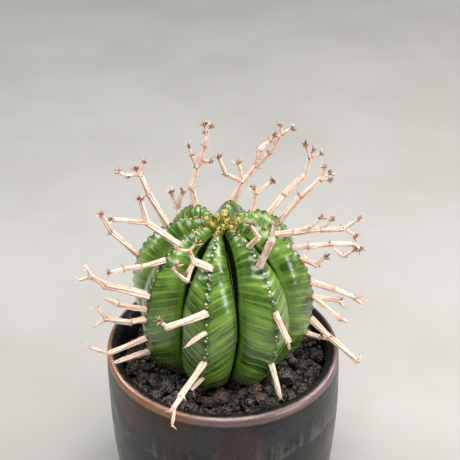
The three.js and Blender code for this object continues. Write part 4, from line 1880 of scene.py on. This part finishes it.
    def _trim(self, courses: Sequence[Course], joints: Sequence[Vector],
              rng: random.Random) -> list[bpy.types.Object]:
        """Sets the bracts at the joints and the spent flowers at the tips.

        Args:
            courses: where a stalk's limbs run.
            joints: its joints.
            rng: the source of chance.

        Returns:
            The small parts.
        """
        parts = []
        for i, course in enumerate(courses):
            end = joints[i + 1]
            roll = rng.uniform(0, ALL_ROUND)
            pairs = rng.choice((3, 4)) if not course.tip else rng.choice(
                (1, 2) if course.bare else (6, 7, 8))
            for k in range(pairs):
                side = course.way.orthogonal().normalized()
                side.rotate(Matrix.Rotation(roll + ALL_ROUND * k / pairs, 3, course.way))
                lean = (side * rng.uniform(0.6, 1.9) + course.way).normalized()
                long = rng.uniform(1.3, 2.5) * (1.25 if course.tip else 1.05)
                wide = rng.uniform(0.6, 1.0) * max(1.0, 0.55 * course.narrow)
                spot = end + side * (0.36 * course.narrow) - course.way * 0.5
                place = placed(spot * MM, lean, (wide * MM, wide * MM, long * MM), roll)
                aged = rng.uniform(*((0.0, 0.25) if course.bare else (0.05, 0.75)))
                parts.append(set_out(self.bract, place, "age", aged))
            crumbs = rng.choice((6, 7)) if course.tip else rng.choice((3, 4, 5))
            for _ in range(0 if course.bare else crumbs):
                drift = any_way(rng)
                spot = end + course.way * rng.uniform(-0.8, 0.6) + drift * 0.36
                size = rng.uniform(0.18, 0.38)
                place = placed(spot * MM, drift.normalized(),
                               (size * MM, size * MM, rng.uniform(1.6, 3.2) * size * MM))
                parts.append(set_out(self.crumb, place, "age", rng.uniform(0.55, 1.0)))
        return parts

    def build_one(self, spec: StalkSpec) -> bpy.types.Object:
        """Grows one stalk.

        Args:
            spec: the stalk.

        Returns:
            The stalk with its bracts and spent flowers.
        """
        seed = self.seed + 13 * [s.node for s in STALKS].index(spec.node)
        rng = random.Random(seed)
        courses, joints = self._plan(spec)
        self.roots.append(joints[0])
        raw = [self._limb(course, rng) for course in courses]
        raw += [self._knuckle(joints[i + 1], course.narrow)
                for i, course in enumerate(courses) if not course.tip]
        piece = join(raw, "dry_" + spec.node)
        face_out(piece)
        modify(piece, "REMESH", mode="VOXEL", voxel_size=self.voxel * MM, adaptivity=0.0)
        modify(piece, "SMOOTH", factor=0.5, iterations=3)
        self._wrinkle(piece, courses, 0.7 * seed)
        parts = self._trim(courses, joints, rng)
        piece = join([piece, *parts], "dry_" + spec.node)
        smooth(piece)
        return piece


# ------------------------------------------------------------------ crown
@dataclass(frozen=True)
class BudSpec:
    """One fresh shoot: its bearing and distance from the crown's centre, and its size."""

    bearing: float
    distance: float
    height: float
    width: float


BUDS: tuple[BudSpec, ...] = (
    BudSpec(207, 2.8, 5.5, 2.6),
    BudSpec(256, 5.4, 5.5, 2.4),
    BudSpec(88, 5.9, 6, 2.6),
    BudSpec(160, 3.4, 5.5, 2.2),
    BudSpec(60, 2.2, 5.5, 2.2),
    BudSpec(10, 3.6, 5, 2.2),
    BudSpec(305, 3.9, 5, 2.2),
    BudSpec(42, 5.2, 5, 2.2),
    BudSpec(350, 6.4, 4.5, 2.2),
    BudSpec(172, 6.8, 5, 2.4),
)


@dataclass
class Crown:
    """The cluster of fresh flower shoots in the dip at the top."""

    body: RibbedBody
    bract: bpy.types.Object
    sink: float = 2.0
    scales: int = 17
    close_scales: int = 9
    scale_turn: float = 137.0
    seed: int = 31

    def _shoot(self, number: int, spec: BudSpec) -> bpy.types.Object:
        """Draws one shoot up out of a ring: a thin stem under a plump, pointed, lobed bud.

        Args:
            number: its number, from 1.
            spec: its size.

        Returns:
            The shoot, without its scales.
        """
        w, h = spec.width, spec.height
        profile = [(0.18 * w, 0.0), (0.20 * w, 0.2 * h), (0.24 * w, 0.38 * h),
                   (0.34 * w, 0.5 * h), (0.30 * w, 0.62 * h), (0.38 * w, 0.74 * h),
                   (0.35 * w, 0.88 * h), (0.2 * w, 0.97 * h), (0.04 * w, 1.0 * h)]
        shoot = thrown(f"fresh_crown_bud_{number}", profile, 15, loop=False)
        modify(shoot, "SUBSURF", levels=1, render_levels=1)

        def lobes(point: Vector) -> Vector:
            """Winds five shallow lobes up the bud.

            Args:
                point: a point of the shoot, in metres.

            Returns:
                Where it goes.
            """
            share = max(0.0, point.z / (h * MM))
            turn = math.atan2(point.y, point.x)
            swell = 1 + 0.26 * share * math.cos(5 * turn + 3 * share)
            swell += 0.2 * fine(point, 1.1, number)
            return Vector((point.x * swell, point.y * swell, point.z))

        sculpt(shoot, lobes)
        paint(shoot.data, "age",
              [max(0.0, v.co.z / (h * MM) - 0.62) * 1.5 for v in shoot.data.vertices])
        return shoot

    def _scales(self, spec: BudSpec, rng: random.Random) -> list[bpy.types.Object]:
        """Lays pointed scales against the bud and sets a few curved ones beside it.

        Args:
            spec: the shoot's size.
            rng: the source of chance.

        Returns:
            The scales.
        """
        w, h = spec.width, spec.height
        parts = []
        for k in range(self.scales):
            close = k < self.close_scales
            side = heading(self.scale_turn * k + rng.uniform(-20, 20), 0)
            out = 0.28 * w if close else rng.uniform(0.45, 1.05) * w
            spot = side * out + Vector((0, 0, h * (rng.uniform(0.3, 0.8) if close else 0.2)))
            lean = (side * (0.25 if close else 0.4) + Vector((0, 0, 1))).normalized()
            long = h * (rng.uniform(0.25, 0.38) if close else rng.uniform(0.3, 0.62))
            wide = rng.uniform(1.1, 1.5) if close else rng.uniform(0.8, 1.2)
            twin = copy_of(self.bract, placed(spot * MM, lean, (wide * MM, wide * MM, long * MM),
                                              rng.uniform(0, ALL_ROUND)))
            start = rng.uniform(0.0, 0.3) if close else rng.uniform(0.2, 0.75)
            low = min(v.co.z for v in twin.data.vertices)
            paint(twin.data, "age", [min(1.0, start + 0.4 * (v.co.z - low) / (long * MM))
                                     for v in twin.data.vertices])
            parts.append(twin)
        return parts

    def build_one(self, number: int, spec: BudSpec) -> bpy.types.Object:
        """Builds one shoot with its scales.

        Args:
            number: its number, from 1.
            spec: its place and size.

        Returns:
            The shoot.
        """
        rng = random.Random(self.seed + number)
        parts = [self._shoot(number, spec), *self._scales(spec, rng)]
        top = self.body.centre + self.body.half_height - self.body.crown_dip
        foot = heading(spec.bearing, 0) * spec.distance
        foot.z = top - self.sink - 0.12 * spec.distance
        lean = Vector((foot.x, foot.y, 30)).normalized()
        shoot = join(parts, f"fresh_crown_bud_{number}")
        shoot.data.transform(placed(foot * MM, lean, (1, 1, 1)))
        smooth(shoot)
        return shoot


# ------------------------------------------------------------------ studio
@dataclass(frozen=True)
class Lamp:
    """A soft light: where it hangs and its width and height in metres, its watts and colour."""

    name: str
    place: tuple[float, float, float]
    size: tuple[float, float]
    power: float
    tint: tuple[float, float, float]


LAMPS: tuple[Lamp, ...] = (
    Lamp("key", (0.02, -0.22, 0.80), (0.5, 0.74), 11.5, (1.0, 0.985, 0.96)),
    Lamp("left_back", (-0.70, 0.24, 0.58), (0.42, 0.44), 6.5, (0.95, 0.97, 1.0)),
    Lamp("right_back", (0.74, 0.26, 0.54), (0.44, 0.50), 9.0, (1.0, 0.99, 0.97)),
    Lamp("right_side", (0.80, -0.42, 0.34), (0.3, 0.36), 4.6, (1.0, 0.98, 0.95)),
)


@dataclass
class Studio:
    """A plain pale floor, soft lights and the camera."""

    elevation: float = 33.3
    distance: float = 500.0
    lens_ratio: float = 1160 / 460
    aim_left: float = -2.98
    aim_down: float = -48.2
    roll: float = -0.6
    sensor: float = 36.0
    nearest: float = 0.01
    sky: tuple[float, float, float, float] = (0.8, 0.83, 0.88, 1)
    sky_strength: float = 0.14
    exposure: float = -0.35

    def camera(self, target_height: float) -> None:
        """Sets the camera, looking down at the rim from the front.

        Args:
            target_height: the rim's height, in millimetres.
        """
        rise, roll = math.radians(self.elevation), math.radians(self.roll)
        back = Vector((0, -math.cos(rise), math.sin(rise)))
        right = Vector((1, 0, 0))
        up = right.cross(-back)
        across = right * math.cos(roll) + up * math.sin(roll)
        above = up * math.cos(roll) - right * math.sin(roll)
        place = Vector((0, 0, target_height)) + back * self.distance
        place -= across * self.aim_left + above * self.aim_down
        pick()
        bpy.ops.object.camera_add(location=place * MM)
        made = bpy.context.active_object
        made.rotation_euler = Matrix((across, above, back)).transposed().to_euler()
        made.data.sensor_width = self.sensor
        made.data.lens = self.sensor * self.lens_ratio
        made.data.clip_start = self.nearest
        bpy.context.scene.camera = made

    @staticmethod
    def light(lamp: Lamp) -> None:
        """Hangs a soft light that faces the plant.

        Args:
            lamp: the light.
        """
        pick()
        bpy.ops.object.light_add(type="AREA", location=lamp.place)
        made = bpy.context.active_object
        made.name = lamp.name
        aim = Vector((0, 0, 0.1)) - Vector(lamp.place)
        made.rotation_euler = aim.to_track_quat("-Z", "Y").to_euler()
        made.data.shape = "RECTANGLE"
        made.data.size, made.data.size_y = lamp.size
        made.data.energy = lamp.power
        made.data.color = lamp.tint

    def build(self, effects: Effects, rim_height: float) -> None:
        """Builds the floor, the lights and the camera.

        Args:
            effects: the shared node groups.
            rim_height: the rim's height, in millimetres.
        """
        pick()
        bpy.ops.mesh.primitive_plane_add(size=6.0, location=(0, 0, 0))
        floor = settle(bpy.context.active_object, "studio_floor")
        FloorRecipe().make(effects).dress(floor)
        for lamp in LAMPS:
            self.light(lamp)
        world = bpy.data.worlds.new("studio_world")
        world.use_nodes = True
        sky = world.node_tree.nodes["Background"].inputs
        sky["Color"].default_value = self.sky
        sky["Strength"].default_value = self.sky_strength
        bpy.context.scene.world = world
        bpy.context.scene.view_settings.view_transform = "Standard"
        bpy.context.scene.view_settings.exposure = self.exposure
        self.camera(rim_height)


# ------------------------------------------------------------------ assembly
def mount(piece: bpy.types.Object, finish: Finish, slot: Slot, *nodes: str) -> None:
    """Dresses a piece, hangs it on the body and hides the CAD nodes that it replaces.

    Args:
        piece: the finished piece.
        finish: its finish.
        slot: the material slot that it takes; not used.
        nodes: the CAD nodes that it replaces.
    """
    finish.dress(piece)
    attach(piece, BODY)
    if nodes:
        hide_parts(*nodes)
    log.info("%s: %d faces", piece.name, len(piece.data.polygons))


def main() -> None:
    """Builds every piece in order and sets the studio round them."""
    logging.basicConfig(level=logging.INFO, format="%(message)s")
    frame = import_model()
    effects = Effects()
    pot = ThrownPot()
    body = RibbedBody()
    bed = LavaBed()

    Studio().build(effects, pot.height)
    mount(pot.build(), GlazeRecipe(pot).make(effects), Slot.GLAZE, "pot")
    NetRecipe().make(effects).dress(frame["nodes"]["drain_net"])

    lava = LavaRecipe().make(effects)
    mount(bed.build_bed(), lava, Slot.SOIL, "soil")
    mount(bed.build_grains(body.stem_radius), lava, Slot.SOIL)

    mount(body.build(), SkinRecipe().make(effects), Slot.SKIN, "plant_body")

    straw = StalkRecipe().make(effects)
    stalks = DryStalks(body)
    for spec in STALKS:
        mount(stalks.build_one(spec), straw, Slot.STALK, spec.node)
    marks = RidgeMarks(body).build(stalks.roots, stalks.bract)
    mount(marks, ScarRecipe().make(effects), Slot.STALK)

    fresh = BudRecipe().make(effects)
    crown = Crown(body, stalks.bract)
    for i, spec in enumerate(BUDS, start=1):
        mount(crown.build_one(i, spec), fresh, Slot.BUD, f"crown_bud_{i}")
    discard([stalks.bract, stalks.crumb])


if __name__ == "__main__":
    main()
